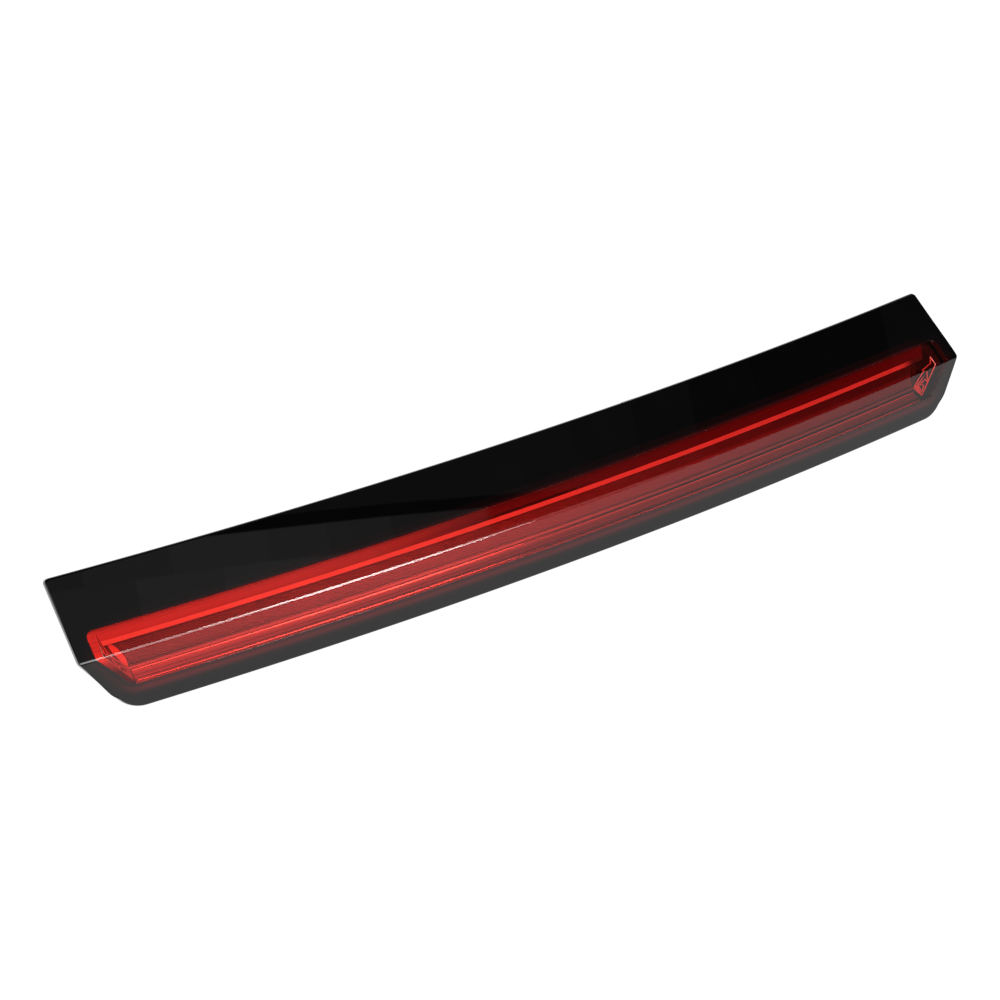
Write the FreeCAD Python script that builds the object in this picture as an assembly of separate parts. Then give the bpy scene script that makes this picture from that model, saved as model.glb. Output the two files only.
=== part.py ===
"""High-mounted third brake light for a tailgate spoiler, all dimensions in millimetres.

Frame: +X runs along the lamp, +Y points forward into the vehicle (the way the mounting studs point),
+Z is up. The origin is the middle of the two-stud pattern on the plane of the stud seats.

The lamp is a slim bar that bows rearwards. Every long piece is a section in the YZ plane turned about
one vertical axis, so all of them share the same bow. The outer face is folded along a crease: the top
face continues the spoiler's skin and the rear face drops away from it. A red window straddles the
crease, and behind it lie a bright trough, an inner lens strip and a row of LEDs on a board.
"""

import FreeCAD
import Part
import math
import os

V = FreeCAD.Vector

# ---- Driving dimensions -------------------------------------------------------------------------

BOW_RADIUS = 2500.0            # plan radius of the crease line
CREASE_Y, CREASE_Z = -50.0, 8.0    # crease at mid-length, from the origin on the stud seats

TOP_FACE = (34.5, 18.7)        # from the crease to the front edge of the top face (forward, up)
REAR_FACE = (-5.1, -25.1)      # from the crease to the bottom edge of the rear face
CREASE_ROUND = 0.8             # outer radius of the crease
CAP_SPARE = 4.0                # the folded shell is made this much wider, then cut to its outline

HALF_LENGTH = 225.0            # crease line, middle to end
TOP_END_STEP = 0.8             # the top face's end runs in by this much at its front edge
REAR_END_STEP = 16.2           # the rear face's end runs in by this much at its bottom edge

SHELL = 3.0                    # thickness of bezel and lens window
FLANGE = 1.5                   # lens flange bonded behind the bezel
WALL = 2.2                     # bezel skirt and housing walls

CAP_CORNERS = (2.0, 3.0, 13.0)     # end outline's corner radii: front edge, crease, bottom edge

WINDOW_TOP = 12.6              # window edge, measured along the top face from the crease
WINDOW_REAR = 15.2             # window edge, measured along the rear face from the crease
WINDOW_HALF_LENGTH = 218.2     # at the crease
WINDOW_TOP_STEP = 0.2          # how far the window's ends run in, crease to upper edge
WINDOW_REAR_STEP = 12.0        # the same, crease to lower edge
WINDOW_CORNERS = (3.0, 2.5, 6.0)
FLANGE_LAP = 2.4               # how far the lens flange reaches behind the bezel's upper edge
FLANGE_END_LAP = 0.8           # the same at the ends and along the lower edge
FLANGE_TOP_STEP = WINDOW_TOP_STEP + 1.5
FLANGE_REAR_STEP = WINDOW_REAR_STEP + 1.2

TROUGH_WALL = 1.0
TROUGH_RIM = SHELL + FLANGE + 0.1
MOUTH_LAP = 2.2                # how far the trough's mouth reaches past the window's edges
SHELF_FOOT = (11.3, -1.6)      # ridge where the sloping upper shelf drops to the floor
RIDGE_BACK = (12.7, -1.5)      # the same ridge on the tray's back
FLOOR_HIGH = (14.1, -3.9)      # upper edge of the slanting trough floor
FLOOR_LOW = (7.2, -14.0)       # lower edge of the floor
STEP_LOW = (6.4, -15.4)        # foot of the small step below the floor
FLOOR_LIP = 0.8                # solid edge of the floor round its slot
TROUGH_END_GAP = 0.2           # trough's mouth outside the window's end
TROUGH_DRAFT = 0.72            # how fast the end walls run in, per mm of draw
TROUGH_TOP_STEP, TROUGH_REAR_STEP = 3.1, 19.0    # end steps over the whole faces, as the window's

STRIP_THICKNESS = 2.0          # inner lens
STRIP_HALF_LENGTH = 204.0
STRIP_END_LAP = 1.0            # the strip reaches this far past the slot's ends
STRIP_FIT = 0.1                # gap between the strip's rib and the slot
STRIP_SINK = 0.2               # the rib stays this far below the trough floor

HOUSING_TOP = 8.5              # outer top wall, above the crease
HOUSING_BOTTOM = -22.0         # outer bottom wall, below the crease
HOUSING_BACK = 42.0            # outer back wall, forward of the crease
SKIRT_DEPTH = 5.0              # bezel skirt, from the cap's inner face to the weld line
END_DRAFT = 0.28               # how fast the housing's ends run in, per mm forward
SKIRT_INSET = 1.5              # bezel skirt inside the cap's end
END_WALL = 1.6
WELD_LIP, WELD_LIP_WIDTH = 1.0, 1.6
BACK_INNER = HOUSING_BACK - WALL
RIB, FIN = 1.8, 1.4            # thickness of ribs and of the fins round a boss
FIN_REACH, FIN_DROP = 2.0, 1.2     # fins beyond the seat's edge and below its face
RIB_HEIGHT = 3.0
RIB_PLACES = (-175.0, -125.0, -100.0, -45.0, -20.0, 5.0, 30.0, 105.0, 125.0, 175.0)
SPINES = ((-134.0, -84.0), (-54.0, 50.0), (90.0, 134.0))
GUSSETS = [-190.0 + 38.0 * k for k in range(11)]    # under the front overhang
GUSSET_FRONT = (22.5, 28.5)    # their reach along the top face
GUSSET_FOOT = HOUSING_TOP + WELD_LIP + 0.4
GUSSET_DEPTH = 9.0
TAB_PLACES = (-120.0, 120.0)
TAB_HALF_WIDTH, TAB_THICKNESS = 8.0, 6.0

STUD_SPACING = 300.0
STUD_RADIUS = 3.0
STUD_REACH = 15.0              # beyond the seat plane
STUD_HEAD = 5.0                # radius of the head moulded into the boss
STUD_CHAMFER = 0.8
STUD_SHOULDER = 0.8            # head in front of the back wall's face
STUD_COLLAR = 3.8              # radius inside the boss, up to the seat plane
SEAT_RADIUS = 7.5
PEG_SPACING = 374.0
PEG_RADIUS = 4.0
PEG_REACH = 9.0
PEG_TIP = 2.0                  # length of the peg's tapered tip
PEG_BASE = 6.0                 # radius of the collar that ends on the seat plane

LED_COUNT = 12
LED_PITCH = 34.0
BOARD_FRONT = 24.0             # board face with the LEDs, forward of the crease
BOARD_THICKNESS = 1.6
BOARD_TOP, BOARD_BOTTOM = 0.5, -17.5
OPTIC_AXIS = -9.0              # height of the LED row, from the crease
BOARD_BACK = BOARD_FRONT + BOARD_THICKNESS
BOARD_HALF_LENGTH = 196.0
GRID_FRONT = 19.5
GRID_TOP, GRID_BOTTOM = -2.2, -15.8
GRID_HALF_LENGTH = 195.0
CAVITY = 9.0                   # side of the square well round each LED
LED_SIZE = (3.5, 1.9, 2.8)     # along X, Y and Z
LED_BODY = 0.55                # the body's share of the height; the dome is the rest
DOME_RADIUS = 1.2
RESISTOR_PLACES = (-153.0, -119.0, -51.0, 34.0, 136.0, 187.0)
RESISTOR_UP, RESISTOR_SIZE = -4.0, (3.2, 0.7, 1.6)
DRIVER_PLACE, DRIVER_SIZE = (0.0, -3.0), (5.0, 1.5, 4.0)
DIODE_PLACE, DIODE_SIZE = (52.0, -11.0), (4.4, 2.2, 2.6)
CAPACITOR_PLACE, CAPACITOR_SIZE = (88.0, -11.0), (3.5, 2.8, 2.8)
SCREW_PLACES = (-170.0, -102.0, 0.0, 102.0, 170.0)
SCREW_SHANK, SCREW_HEAD, SCREW_HEAD_HEIGHT = 1.25, 2.6, 1.8
SCREW_REACH = 9.0              # shank beyond the board
SCREW_BOSS = 3.2
SLOT_REACH, SLOT_HALF_WIDTH = 1.5, 0.3

CONNECTOR_X = 70.0
CONNECTOR_Z = -6.0             # from the crease
PIN_PITCH = 5.0
PIN_WIDTH, PIN_HEIGHT = 1.5, 0.8
CAP_X, CAP_Z = 16.0, 11.0      # inside of the plug socket, along X and Z
SOCKET_WALL, SOCKET_FLOOR = 1.8, 2.0
SOCKET_REACH = 15.0            # from the back wall to the socket's mouth
SOCKET_FLANGE = (24.0, 18.4, 2.0)
LATCH_HALF_WIDTH, LATCH_HEIGHT = 2.5, 1.6
LATCH_REACH = (SOCKET_REACH - 6.0, SOCKET_REACH - 3.5)
KEY_OFFSETS, KEY_HALF_WIDTH, KEY_HEIGHT = (-5.0, 6.0), 0.6, 1.0
SEAL_THICKNESS = 1.2

VENT_X, VENT_Z = -70.0, -6.0
VENT_HOLE, VENT_DISC, VENT_CAP = 3.0, 5.5, 8.0    # radii of hole, membrane and cover
VENT_HEIGHT, VENT_WALL = 3.2, 1.6

GASKET_WIDTH, GASKET_THICKNESS = 3.5, 5.0
GASKET_LOW, GASKET_HIGH = HOUSING_BOTTOM + 0.5, HOUSING_TOP - 0.5
GASKET_INSET = SKIRT_INSET + 5.0
EDGE_SEAL_THICKNESS = 2.0
EDGE_SEAL_HALF_LENGTH = 205.0
UPPER_SEAL, LOWER_SEAL = (31.5, 37.0), (22.2, 24.6)    # their reach along the two faces

SAG_GAP = 0.02                 # clears the bowed surfaces' sag under flat pieces

OVERRUN = 2.0                  # how far cutting tools run past what they cut
FAR = 900.0                    # side of the blocks that stand for half-spaces
OUTLINE_CLEAR = 15.0           # outline prisms start this far outside the crease
PRISM_LENGTH = 60.0

# ---- Section geometry (forward, up), both measured from the crease ------------------------------


def unit(a):
    length = math.hypot(*a)
    return (a[0] / length, a[1] / length)


TOP_DIR = unit(TOP_FACE)
REAR_DIR = unit(REAR_FACE)
TOP_WIDTH = math.hypot(*TOP_FACE)
REAR_WIDTH = math.hypot(*REAR_FACE)
TOP_IN = (TOP_DIR[1], -TOP_DIR[0])          # inward normals of the two faces
REAR_IN = (-REAR_DIR[1], REAR_DIR[0])
DRAW = unit((TOP_IN[0] + REAR_IN[0], TOP_IN[1] + REAR_IN[1]))    # the cap's draw direction, inwards
MITRE = 1.0 / (TOP_IN[0] * DRAW[0] + TOP_IN[1] * DRAW[1])


def on_top(along, depth=0.0):
    return (TOP_DIR[0] * along + TOP_IN[0] * depth, TOP_DIR[1] * along + TOP_IN[1] * depth)


def on_rear(along, depth=0.0):
    return (REAR_DIR[0] * along + REAR_IN[0] * depth, REAR_DIR[1] * along + REAR_IN[1] * depth)


def fold(depth):
    """The crease point of the surface that lies depth inside the outer face."""
    return (DRAW[0] * depth * MITRE, DRAW[1] * depth * MITRE)


def on_plane(point):
    """A section point as a vector in the YZ plane of the part's frame."""
    return V(0, CREASE_Y + point[0], CREASE_Z + point[1])


def inner_face_y(height, depth=SHELL):
    """How far forward the surface depth inside the outer face lies at a height."""
    above = height > fold(depth)[1]
    direction = TOP_DIR if above else REAR_DIR
    start = on_top(0, depth) if above else on_rear(0, depth)
    return start[0] + direction[0] * (height - start[1]) / direction[1]


# ---- Helpers ------------------------------------------------------------------------------------


def bowed(face, half_length):
    """A section face turned about the bow's vertical axis, to half_length each way at the crease."""
    angle = math.degrees(half_length / BOW_RADIUS)
    centre = V(0, CREASE_Y + BOW_RADIUS, 0)
    start = face.copy()
    start.rotate(centre, V(0, 0, 1), -angle)
    return start.revolve(centre, V(0, 0, 1), 2 * angle)


def section(points):
    corners = [on_plane(p) for p in points]
    return Part.Face(Part.makePolygon(corners + corners[:1]))


def bar(points, half_length=HALF_LENGTH + 12):
    return bowed(section(points), half_length)


def bow_angle(x):
    return math.degrees(math.asin(x / BOW_RADIUS))


def along_bow(shape, x):
    """Carries a shape modelled at mid-length round the bow to x."""
    moved = shape.copy()
    moved.rotate(V(0, CREASE_Y + BOW_RADIUS, 0), V(0, 0, 1), bow_angle(x))
    return moved


def bow_shift(x, forward=0.0):
    """How far forward a section point has moved at x because of the bow."""
    radius = BOW_RADIUS - forward
    return radius - math.sqrt(radius * radius - x * x)


def block(x, forward, up):
    """A box from (low, high) pairs, forward and up measured from the crease."""
    corner = V(x[0], CREASE_Y + forward[0], CREASE_Z + up[0])
    return Part.makeBox(x[1] - x[0], forward[1] - forward[0], up[1] - up[0], corner)


def rod(radius, x, up, forward):
    """A cylinder along +Y between two forward values, measured from the crease."""
    foot = V(x, CREASE_Y + forward[0], CREASE_Z + up)
    return Part.makeCylinder(radius, forward[1] - forward[0], foot, V(0, 1, 0))


def half_space(point, normal):
    solid = Part.makeBox(FAR, FAR, FAR, V(-FAR / 2, -FAR / 2, 0))
    solid.Placement = FreeCAD.Placement(point, FreeCAD.Rotation(V(0, 0, 1), normal))
    return solid


def trim_ends(shape, half_length, into, top_step=TOP_END_STEP, rear_step=REAR_END_STEP):
    """Cuts both ends along the bent line that ends the cap, at half_length on the crease.

    into is how the cut runs into the lamp at the left end: (x, forward, up). The steps say how far
    the ends run in over the whole width of each face."""
    end_y = CREASE_Y + bow_shift(half_length)
    for side in (-1, 1):
        corner = V(side * half_length, end_y, CREASE_Z)
        inward = V(-side * into[0], into[1], into[2])
        upper = V(-side * top_step, *TOP_FACE)
        lower = V(-side * rear_step, *REAR_FACE)
        for edge in (upper, lower):
            normal = edge.cross(inward)
            normal.normalize()
            if normal.x * side < 0:
                normal = -normal
            shape = shape.cut(half_space(corner, normal))
    return shape


def bow_point(x, point):
    """Where a section point comes to lie at x."""
    return V(x, CREASE_Y + point[0] + bow_shift(x, point[0]), CREASE_Z + point[1])


def draw_prism(half_length, top, top_step, rear, rear_step, radii):
    """A prism along the draw direction, with one bowed hexagonal outline and rounded corners.

    half_length is at the crease; top and rear place the long edges along the two faces."""
    high, low = on_top(top), on_rear(rear)
    draw = V(0, *DRAW)

    def flat(x, point):
        place = bow_point(x, point)
        return place - draw * (draw.dot(place - on_plane((0, 0))) + OUTLINE_CLEAR)

    top_x, low_x = half_length - top_step, half_length - rear_step
    right = [flat(top_x, high), flat(half_length, (0, 0)), flat(low_x, low)]
    left = [flat(-top_x, high), flat(-half_length, (0, 0)), flat(-low_x, low)]
    outline = Part.Wire([
        Part.Arc(left[0], flat(0, high), right[0]).toShape(),
        Part.makeLine(right[0], right[1]),
        Part.makeLine(right[1], right[2]),
        Part.Arc(right[2], flat(0, low), left[2]).toShape(),
        Part.makeLine(left[2], left[1]),
        Part.makeLine(left[1], left[0]),
    ])
    prism = Part.Face(outline).extrude(draw * PRISM_LENGTH)
    for corners in (left, right):
        for corner, radius in zip(corners, radii):
            middle = corner + draw * (PRISM_LENGTH / 2)
            edge = min(prism.Edges, key=lambda e: e.CenterOfMass.distanceToPoint(middle))
            prism = prism.makeFillet(radius, [edge])
    return prism


def fused(*shapes):
    return shapes[0].multiFuse(list(shapes[1:])).removeSplitter()


# ---- Cap: black bezel and red outer lens --------------------------------------------------------


def cap_section():
    """The folded shell, with its crease rounded outside."""
    half_turn = math.acos(TOP_IN[0] * DRAW[0] + TOP_IN[1] * DRAW[1])
    tangent = CREASE_ROUND * math.tan(half_turn)
    sag = CREASE_ROUND * (1 / math.cos(half_turn) - 1)
    top_reach, rear_reach = TOP_WIDTH + CAP_SPARE, REAR_WIDTH + CAP_SPARE
    corners = [on_plane(p) for p in (
        on_rear(tangent), on_rear(rear_reach), on_rear(rear_reach, SHELL), fold(SHELL),
        on_top(top_reach, SHELL), on_top(top_reach), on_top(tangent))]
    crown = on_plane((DRAW[0] * sag, DRAW[1] * sag))
    edges = [Part.makeLine(a, b) for a, b in zip(corners, corners[1:])]
    edges.append(Part.Arc(corners[-1], crown, corners[0]).toShape())
    return Part.Face(Part.Wire(edges))


def layer(top, rear, shallow, deep):
    """A folded layer behind the outer face, between two depths."""
    return bar([on_top(top, shallow), fold(shallow), on_rear(rear, shallow),
                on_rear(rear, deep), fold(deep), on_top(top, deep)])


CAP_SHELL = bowed(cap_section(), HALF_LENGTH + 12)
CAP_OUTLINE = draw_prism(HALF_LENGTH, TOP_WIDTH, TOP_END_STEP, REAR_WIDTH, REAR_END_STEP, CAP_CORNERS)
WINDOW = draw_prism(WINDOW_HALF_LENGTH, WINDOW_TOP, WINDOW_TOP_STEP, WINDOW_REAR, WINDOW_REAR_STEP,
                    WINDOW_CORNERS)
FLANGE_OUTLINE = draw_prism(WINDOW_HALF_LENGTH + FLANGE_END_LAP, WINDOW_TOP + FLANGE_LAP, FLANGE_TOP_STEP,
                            WINDOW_REAR + FLANGE_END_LAP, FLANGE_REAR_STEP, WINDOW_CORNERS)


def housing_block(wall, first, last, inset):
    """The block inside the housing's walls; first and last give its ends forward at each height."""
    heights = (HOUSING_BOTTOM + wall, fold(SHELL)[1], HOUSING_TOP - wall)
    outline = [(first(z), z) for z in heights] + [(last(z), z) for z in reversed(heights)]
    return trim_ends(bar(outline), HALF_LENGTH - inset, (END_DRAFT, 1, 0))


def back_face(height):
    return HOUSING_BACK


def just_outside(height):
    return inner_face_y(height) - 1


def weld_line(height):
    return inner_face_y(height) + SKIRT_DEPTH


def weld_lip(first, last):
    """Outward lip round the housing beside the weld line, between two offsets from that line."""
    return housing_block(-WELD_LIP, lambda z: weld_line(z) + first, lambda z: weld_line(z) + last,
                         SKIRT_INSET - WELD_LIP)


def overhang_gussets():
    """Gussets that stiffen the front overhang, clear of the housing's top wall."""
    first, last = GUSSET_FRONT
    foot = inner_face_y(GUSSET_FOOT)
    outline = [on_top(first, SHELL - 0.5), on_top(last, SHELL - 0.5), on_top(last, SHELL),
               (foot + GUSSET_DEPTH, GUSSET_FOOT), (foot, GUSSET_FOOT)]
    ribs = []
    for x in GUSSETS:
        face = section(outline)
        face.translate(V(-RIB / 2, 0, 0))
        ribs.append(along_bow(face.extrude(V(RIB, 0, 0)), x))
    return ribs


def black_bezel():
    face = CAP_SHELL.common(CAP_OUTLINE).cut(WINDOW)
    outer = housing_block(0, inner_face_y, back_face, SKIRT_INSET)
    inner = housing_block(WALL, just_outside, back_face, SKIRT_INSET + END_WALL)
    behind_weld = housing_block(-OVERRUN, weld_line, lambda z: HOUSING_BACK + OVERRUN, -OVERRUN)
    skirt = outer.fuse(weld_lip(-WELD_LIP_WIDTH, 0)).cut(inner).cut(behind_weld)
    return fused(face, skirt, *overhang_gussets())


def outer_lens():
    window = CAP_SHELL.common(WINDOW)
    flange = layer(WINDOW_TOP + 9, WINDOW_REAR + 6, SHELL, SHELL + FLANGE).common(FLANGE_OUTLINE)
    return fused(window, flange)


# ---- Optics behind the window -------------------------------------------------------------------

FLOOR_DIR = unit((FLOOR_HIGH[0] - FLOOR_LOW[0], FLOOR_HIGH[1] - FLOOR_LOW[1]))
FLOOR_IN = (FLOOR_DIR[1], -FLOOR_DIR[0])
FLOOR_WIDTH = math.hypot(FLOOR_HIGH[0] - FLOOR_LOW[0], FLOOR_HIGH[1] - FLOOR_LOW[1])
MOUTH_HIGH = on_top(WINDOW_TOP + MOUTH_LAP, TROUGH_RIM)
MOUTH_LOW = on_rear(WINDOW_REAR + MOUTH_LAP, TROUGH_RIM)


def on_floor(along, depth=0.0):
    """A point along the trough floor from its lower edge, depth behind it."""
    return (FLOOR_LOW[0] + FLOOR_DIR[0] * along + FLOOR_IN[0] * depth,
            FLOOR_LOW[1] + FLOOR_DIR[1] * along + FLOOR_IN[1] * depth)


def trough_trim(solid, grow):
    into = (TROUGH_DRAFT, *DRAW)
    half_length = WINDOW_HALF_LENGTH + TROUGH_END_GAP + grow
    return trim_ends(solid, half_length, into, TROUGH_TOP_STEP, TROUGH_REAR_STEP)


def trough_reflector():
    """Open tray with a sloping shelf, slanting ends and a floor that is a long slot framed by a lip."""
    cavity = trough_trim(bar([MOUTH_HIGH, SHELF_FOOT, FLOOR_HIGH, FLOOR_LOW, STEP_LOW, MOUTH_LOW,
                              fold(TROUGH_RIM)]), 0)
    wall = TROUGH_WALL
    outer = trough_trim(bar([
        (MOUTH_HIGH[0] + wall, MOUTH_HIGH[1] + wall * TOP_DIR[1] / TOP_DIR[0]),
        RIDGE_BACK, on_floor(FLOOR_WIDTH + wall, wall), on_floor(0, wall),
        (STEP_LOW[0] + 0.3, STEP_LOW[1] - wall), (MOUTH_LOW[0] - 0.2, MOUTH_LOW[1] - wall),
        MOUTH_LOW, fold(TROUGH_RIM), MOUTH_HIGH,
    ]), wall)
    high, low = FLOOR_WIDTH - FLOOR_LIP, FLOOR_LIP
    reach = TROUGH_WALL + OVERRUN
    slot = bar([on_floor(low, -OVERRUN), on_floor(low, reach), on_floor(high, reach), on_floor(high, -OVERRUN)],
               STRIP_HALF_LENGTH - STRIP_END_LAP)
    return outer.cut(cavity).cut(slot)


def inner_lens():
    """Strip behind the trough's slot, with a raised rib that fills the slot."""
    def strip(low, high, shallow, deep, half_length):
        return bar([on_floor(low, shallow), on_floor(low, deep), on_floor(high, deep), on_floor(high, shallow)],
                   half_length)

    plate = strip(STRIP_SINK, FLOOR_WIDTH + STRIP_SINK, TROUGH_WALL, TROUGH_WALL + STRIP_THICKNESS,
                  STRIP_HALF_LENGTH)
    edge = FLOOR_LIP + STRIP_FIT
    rib = strip(edge, FLOOR_WIDTH - edge, STRIP_SINK, TROUGH_WALL,
                STRIP_HALF_LENGTH - STRIP_END_LAP - STRIP_FIT)
    return fused(plate, rib)


# ---- Light source -------------------------------------------------------------------------------

def led_places():
    return [(i - (LED_COUNT - 1) / 2) * LED_PITCH for i in range(LED_COUNT)]


def pin_places():
    return [CONNECTOR_X + PIN_PITCH * k for k in (-0.5, 0.5)]


def screw_clearance(x, forward):
    return along_bow(rod(SCREW_SHANK + 0.25, 0, OPTIC_AXIS, forward), x)


def led_board():
    board = bar([(BOARD_FRONT, BOARD_BOTTOM), (BOARD_FRONT, BOARD_TOP),
                 (BOARD_BACK, BOARD_TOP), (BOARD_BACK, BOARD_BOTTOM)], BOARD_HALF_LENGTH)
    for x in SCREW_PLACES:
        board = board.cut(screw_clearance(x, (BOARD_FRONT - OVERRUN, BOARD_BACK + OVERRUN)))
    for x in pin_places():
        board = board.cut(pin_block(x, 0.15, (BOARD_FRONT - 2 * OVERRUN, BOARD_BACK + 2 * OVERRUN)))
    return board


def led_package(x):
    """White LED body with a domed emitter, standing on the board's rear-facing side."""
    width, height, tall = LED_SIZE
    face = BOARD_FRONT - height * LED_BODY
    body = block((-width / 2, width / 2), (face, BOARD_FRONT), (OPTIC_AXIS - tall / 2, OPTIC_AXIS + tall / 2))
    half = block((-DOME_RADIUS, DOME_RADIUS), (face - DOME_RADIUS, face),
                 (OPTIC_AXIS - DOME_RADIUS, OPTIC_AXIS + DOME_RADIUS))
    dome = Part.makeSphere(DOME_RADIUS, on_plane((face, OPTIC_AXIS))).common(half)
    return along_bow(body.fuse(dome), x)


def reflector_grid():
    """White frame over the board: one square well round each LED, a clearance hole for each screw."""
    grid = bar([(GRID_FRONT, GRID_BOTTOM), (GRID_FRONT, GRID_TOP), (BOARD_FRONT, GRID_TOP),
                (BOARD_FRONT, GRID_BOTTOM)], GRID_HALF_LENGTH)
    through = (GRID_FRONT - OVERRUN, BOARD_FRONT + OVERRUN)
    for x in led_places():
        well = block((-CAVITY / 2, CAVITY / 2), through, (OPTIC_AXIS - CAVITY / 2, OPTIC_AXIS + CAVITY / 2))
        grid = grid.cut(along_bow(well, x))
    for x in SCREW_PLACES:
        grid = grid.cut(screw_clearance(x, through))
    for x in pin_places():
        grid = grid.cut(pin_block(x, 0.6, (BOARD_FRONT - OVERRUN, BOARD_FRONT + 1)))
    return grid


def board_screws():
    """Pan-head screws that clamp the grid and the board to the housing's bosses."""
    head_face = GRID_FRONT - SCREW_HEAD_HEIGHT
    head = rod(SCREW_HEAD, 0, OPTIC_AXIS, (head_face, GRID_FRONT))
    head = head.makeFillet(0.8, [e for e in head.Edges if e.CenterOfMass.y < CREASE_Y + head_face + 0.1])
    depth = (head_face - OVERRUN, head_face + 1)
    for half_x, half_z in ((SLOT_REACH, SLOT_HALF_WIDTH), (SLOT_HALF_WIDTH, SLOT_REACH)):
        head = head.cut(block((-half_x, half_x), depth, (OPTIC_AXIS - half_z, OPTIC_AXIS + half_z)))
    shank = rod(SCREW_SHANK, 0, OPTIC_AXIS, (GRID_FRONT, BOARD_BACK + SCREW_REACH))
    screw = fused(head, shank)
    return Part.Compound([along_bow(screw, x) for x in SCREW_PLACES])


def board_component(place, size):
    """A surface-mount body on the forward side of the board."""
    x, up = place
    forward = (BOARD_BACK + SAG_GAP, BOARD_BACK + size[1])
    body = block((-size[0] / 2, size[0] / 2), forward, (up - size[2] / 2, up + size[2] / 2))
    return along_bow(body, x)


# ---- Rear housing and what it carries -----------------------------------------------------------

def wall_face(x):
    """How far forward the back wall's outer face lies at x."""
    return HOUSING_BACK + bow_shift(x, HOUSING_BACK)


SOCKET_BACK = wall_face(CONNECTOR_X)


def pin_block(x, clearance, forward):
    shift = bow_shift(CONNECTOR_X, HOUSING_BACK)
    return block((x - PIN_WIDTH / 2 - clearance, x + PIN_WIDTH / 2 + clearance),
                 (forward[0] + shift, forward[1] + shift),
                 (CONNECTOR_Z - PIN_HEIGHT / 2 - clearance, CONNECTOR_Z + PIN_HEIGHT / 2 + clearance))


def at_socket(half_x, half_z, first, last):
    """A block centred on the plug socket, from first to last forward of the back wall."""
    return block((CONNECTOR_X - half_x, CONNECTOR_X + half_x), (SOCKET_BACK + first, SOCKET_BACK + last),
                 (CONNECTOR_Z - half_z, CONNECTOR_Z + half_z))


def socket_body(first, last):
    return at_socket(CAP_X / 2 + SOCKET_WALL, CAP_Z / 2 + SOCKET_WALL, first, last)


def stud_boss(x):
    """A round seat over the head's pocket, braced by four thin fins."""
    seat, up, reach = -CREASE_Y, -CREASE_Z, SEAT_RADIUS + FIN_REACH
    forward = (wall_face(x) - 1, seat - FIN_DROP)
    return [rod(SEAT_RADIUS, x, up, (wall_face(x) - WALL, seat)),
            rod(STUD_HEAD + 1.5, x, up, (wall_face(x) - WALL - 1.5, wall_face(x))),
            block((x - reach, x + reach), forward, (up - FIN / 2, up + FIN / 2)),
            block((x - FIN / 2, x + FIN / 2), forward, (up - reach, up + reach))]


def locating_peg(x):
    base = rod(PEG_BASE, x, -CREASE_Z, (wall_face(x) - 1, -CREASE_Y))
    peg = rod(PEG_RADIUS, x, -CREASE_Z, (-CREASE_Y - 1, PEG_REACH - PEG_TIP - CREASE_Y))
    tip = Part.makeCone(PEG_RADIUS, PEG_RADIUS - 1.5, PEG_TIP, V(x, PEG_REACH - PEG_TIP, 0), V(0, 1, 0))
    return [base, peg, tip]


def back_ribs():
    """Upright ribs and a lengthwise spine on the back wall, inside the gasket."""
    low, high = GASKET_LOW + GASKET_WIDTH + 0.8, GASKET_HIGH - GASKET_WIDTH - 0.8
    forward = (HOUSING_BACK - 0.5, HOUSING_BACK + RIB_HEIGHT)
    ribs = [along_bow(block((-RIB / 2, RIB / 2), forward, (low, high)), x) for x in RIB_PLACES]
    for first, last in SPINES:
        half = (last - first) / 2
        spine = bar([(forward[0], -RIB / 2 - CREASE_Z), (forward[0], RIB / 2 - CREASE_Z),
                     (forward[1], RIB / 2 - CREASE_Z), (forward[1], -RIB / 2 - CREASE_Z)], half)
        ribs.append(along_bow(spine, (first + last) / 2))
    return ribs


def rear_housing():
    shell = housing_block(0, weld_line, back_face, SKIRT_INSET).fuse(weld_lip(0, WELD_LIP_WIDTH))
    hollow = housing_block(WALL, just_outside, lambda z: BACK_INNER, SKIRT_INSET + END_WALL)
    adds, cuts = back_ribs(), []
    for x in (-STUD_SPACING / 2, STUD_SPACING / 2):
        adds += stud_boss(x)
        cuts.append(stud_body(x))
    for x in (-PEG_SPACING / 2, PEG_SPACING / 2):
        adds += locating_peg(x)
    for x in SCREW_PLACES:
        boss = rod(SCREW_BOSS, 0, OPTIC_AXIS, (BOARD_BACK + SAG_GAP, BACK_INNER + 0.5))
        hole = rod(SCREW_SHANK, 0, OPTIC_AXIS, (BOARD_BACK - 1, BOARD_BACK + SCREW_REACH + 1))
        adds.append(along_bow(boss, x))
        cuts.append(along_bow(hole, x))
    for x in TAB_PLACES:
        tab = block((-TAB_HALF_WIDTH, TAB_HALF_WIDTH), (HOUSING_BACK - TAB_THICKNESS, HOUSING_BACK),
                    (REAR_FACE[1], HOUSING_BOTTOM + 0.5))
        adds.append(along_bow(tab, x))
    vent = rod(VENT_HOLE, 0, VENT_Z, (BACK_INNER - OVERRUN, HOUSING_BACK + OVERRUN))
    cuts.append(along_bow(vent, VENT_X))
    cuts.append(socket_body(-WALL - OVERRUN, OVERRUN))
    return shell.cut(hollow).multiFuse(adds).cut(cuts)


def mounting_gasket():
    """Foam ring on the back wall that seals the lamp against the panel it is bolted to."""
    def ring(inset):
        low, high = GASKET_LOW + inset, GASKET_HIGH - inset
        solid = bar([(HOUSING_BACK, low), (HOUSING_BACK, high), (HOUSING_BACK + GASKET_THICKNESS, high),
                     (HOUSING_BACK + GASKET_THICKNESS, low)])
        return trim_ends(solid, HALF_LENGTH - GASKET_INSET - inset, (END_DRAFT, 1, 0))
    outer, inner = ring(0), ring(GASKET_WIDTH)
    return outer.cut(inner)


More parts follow.
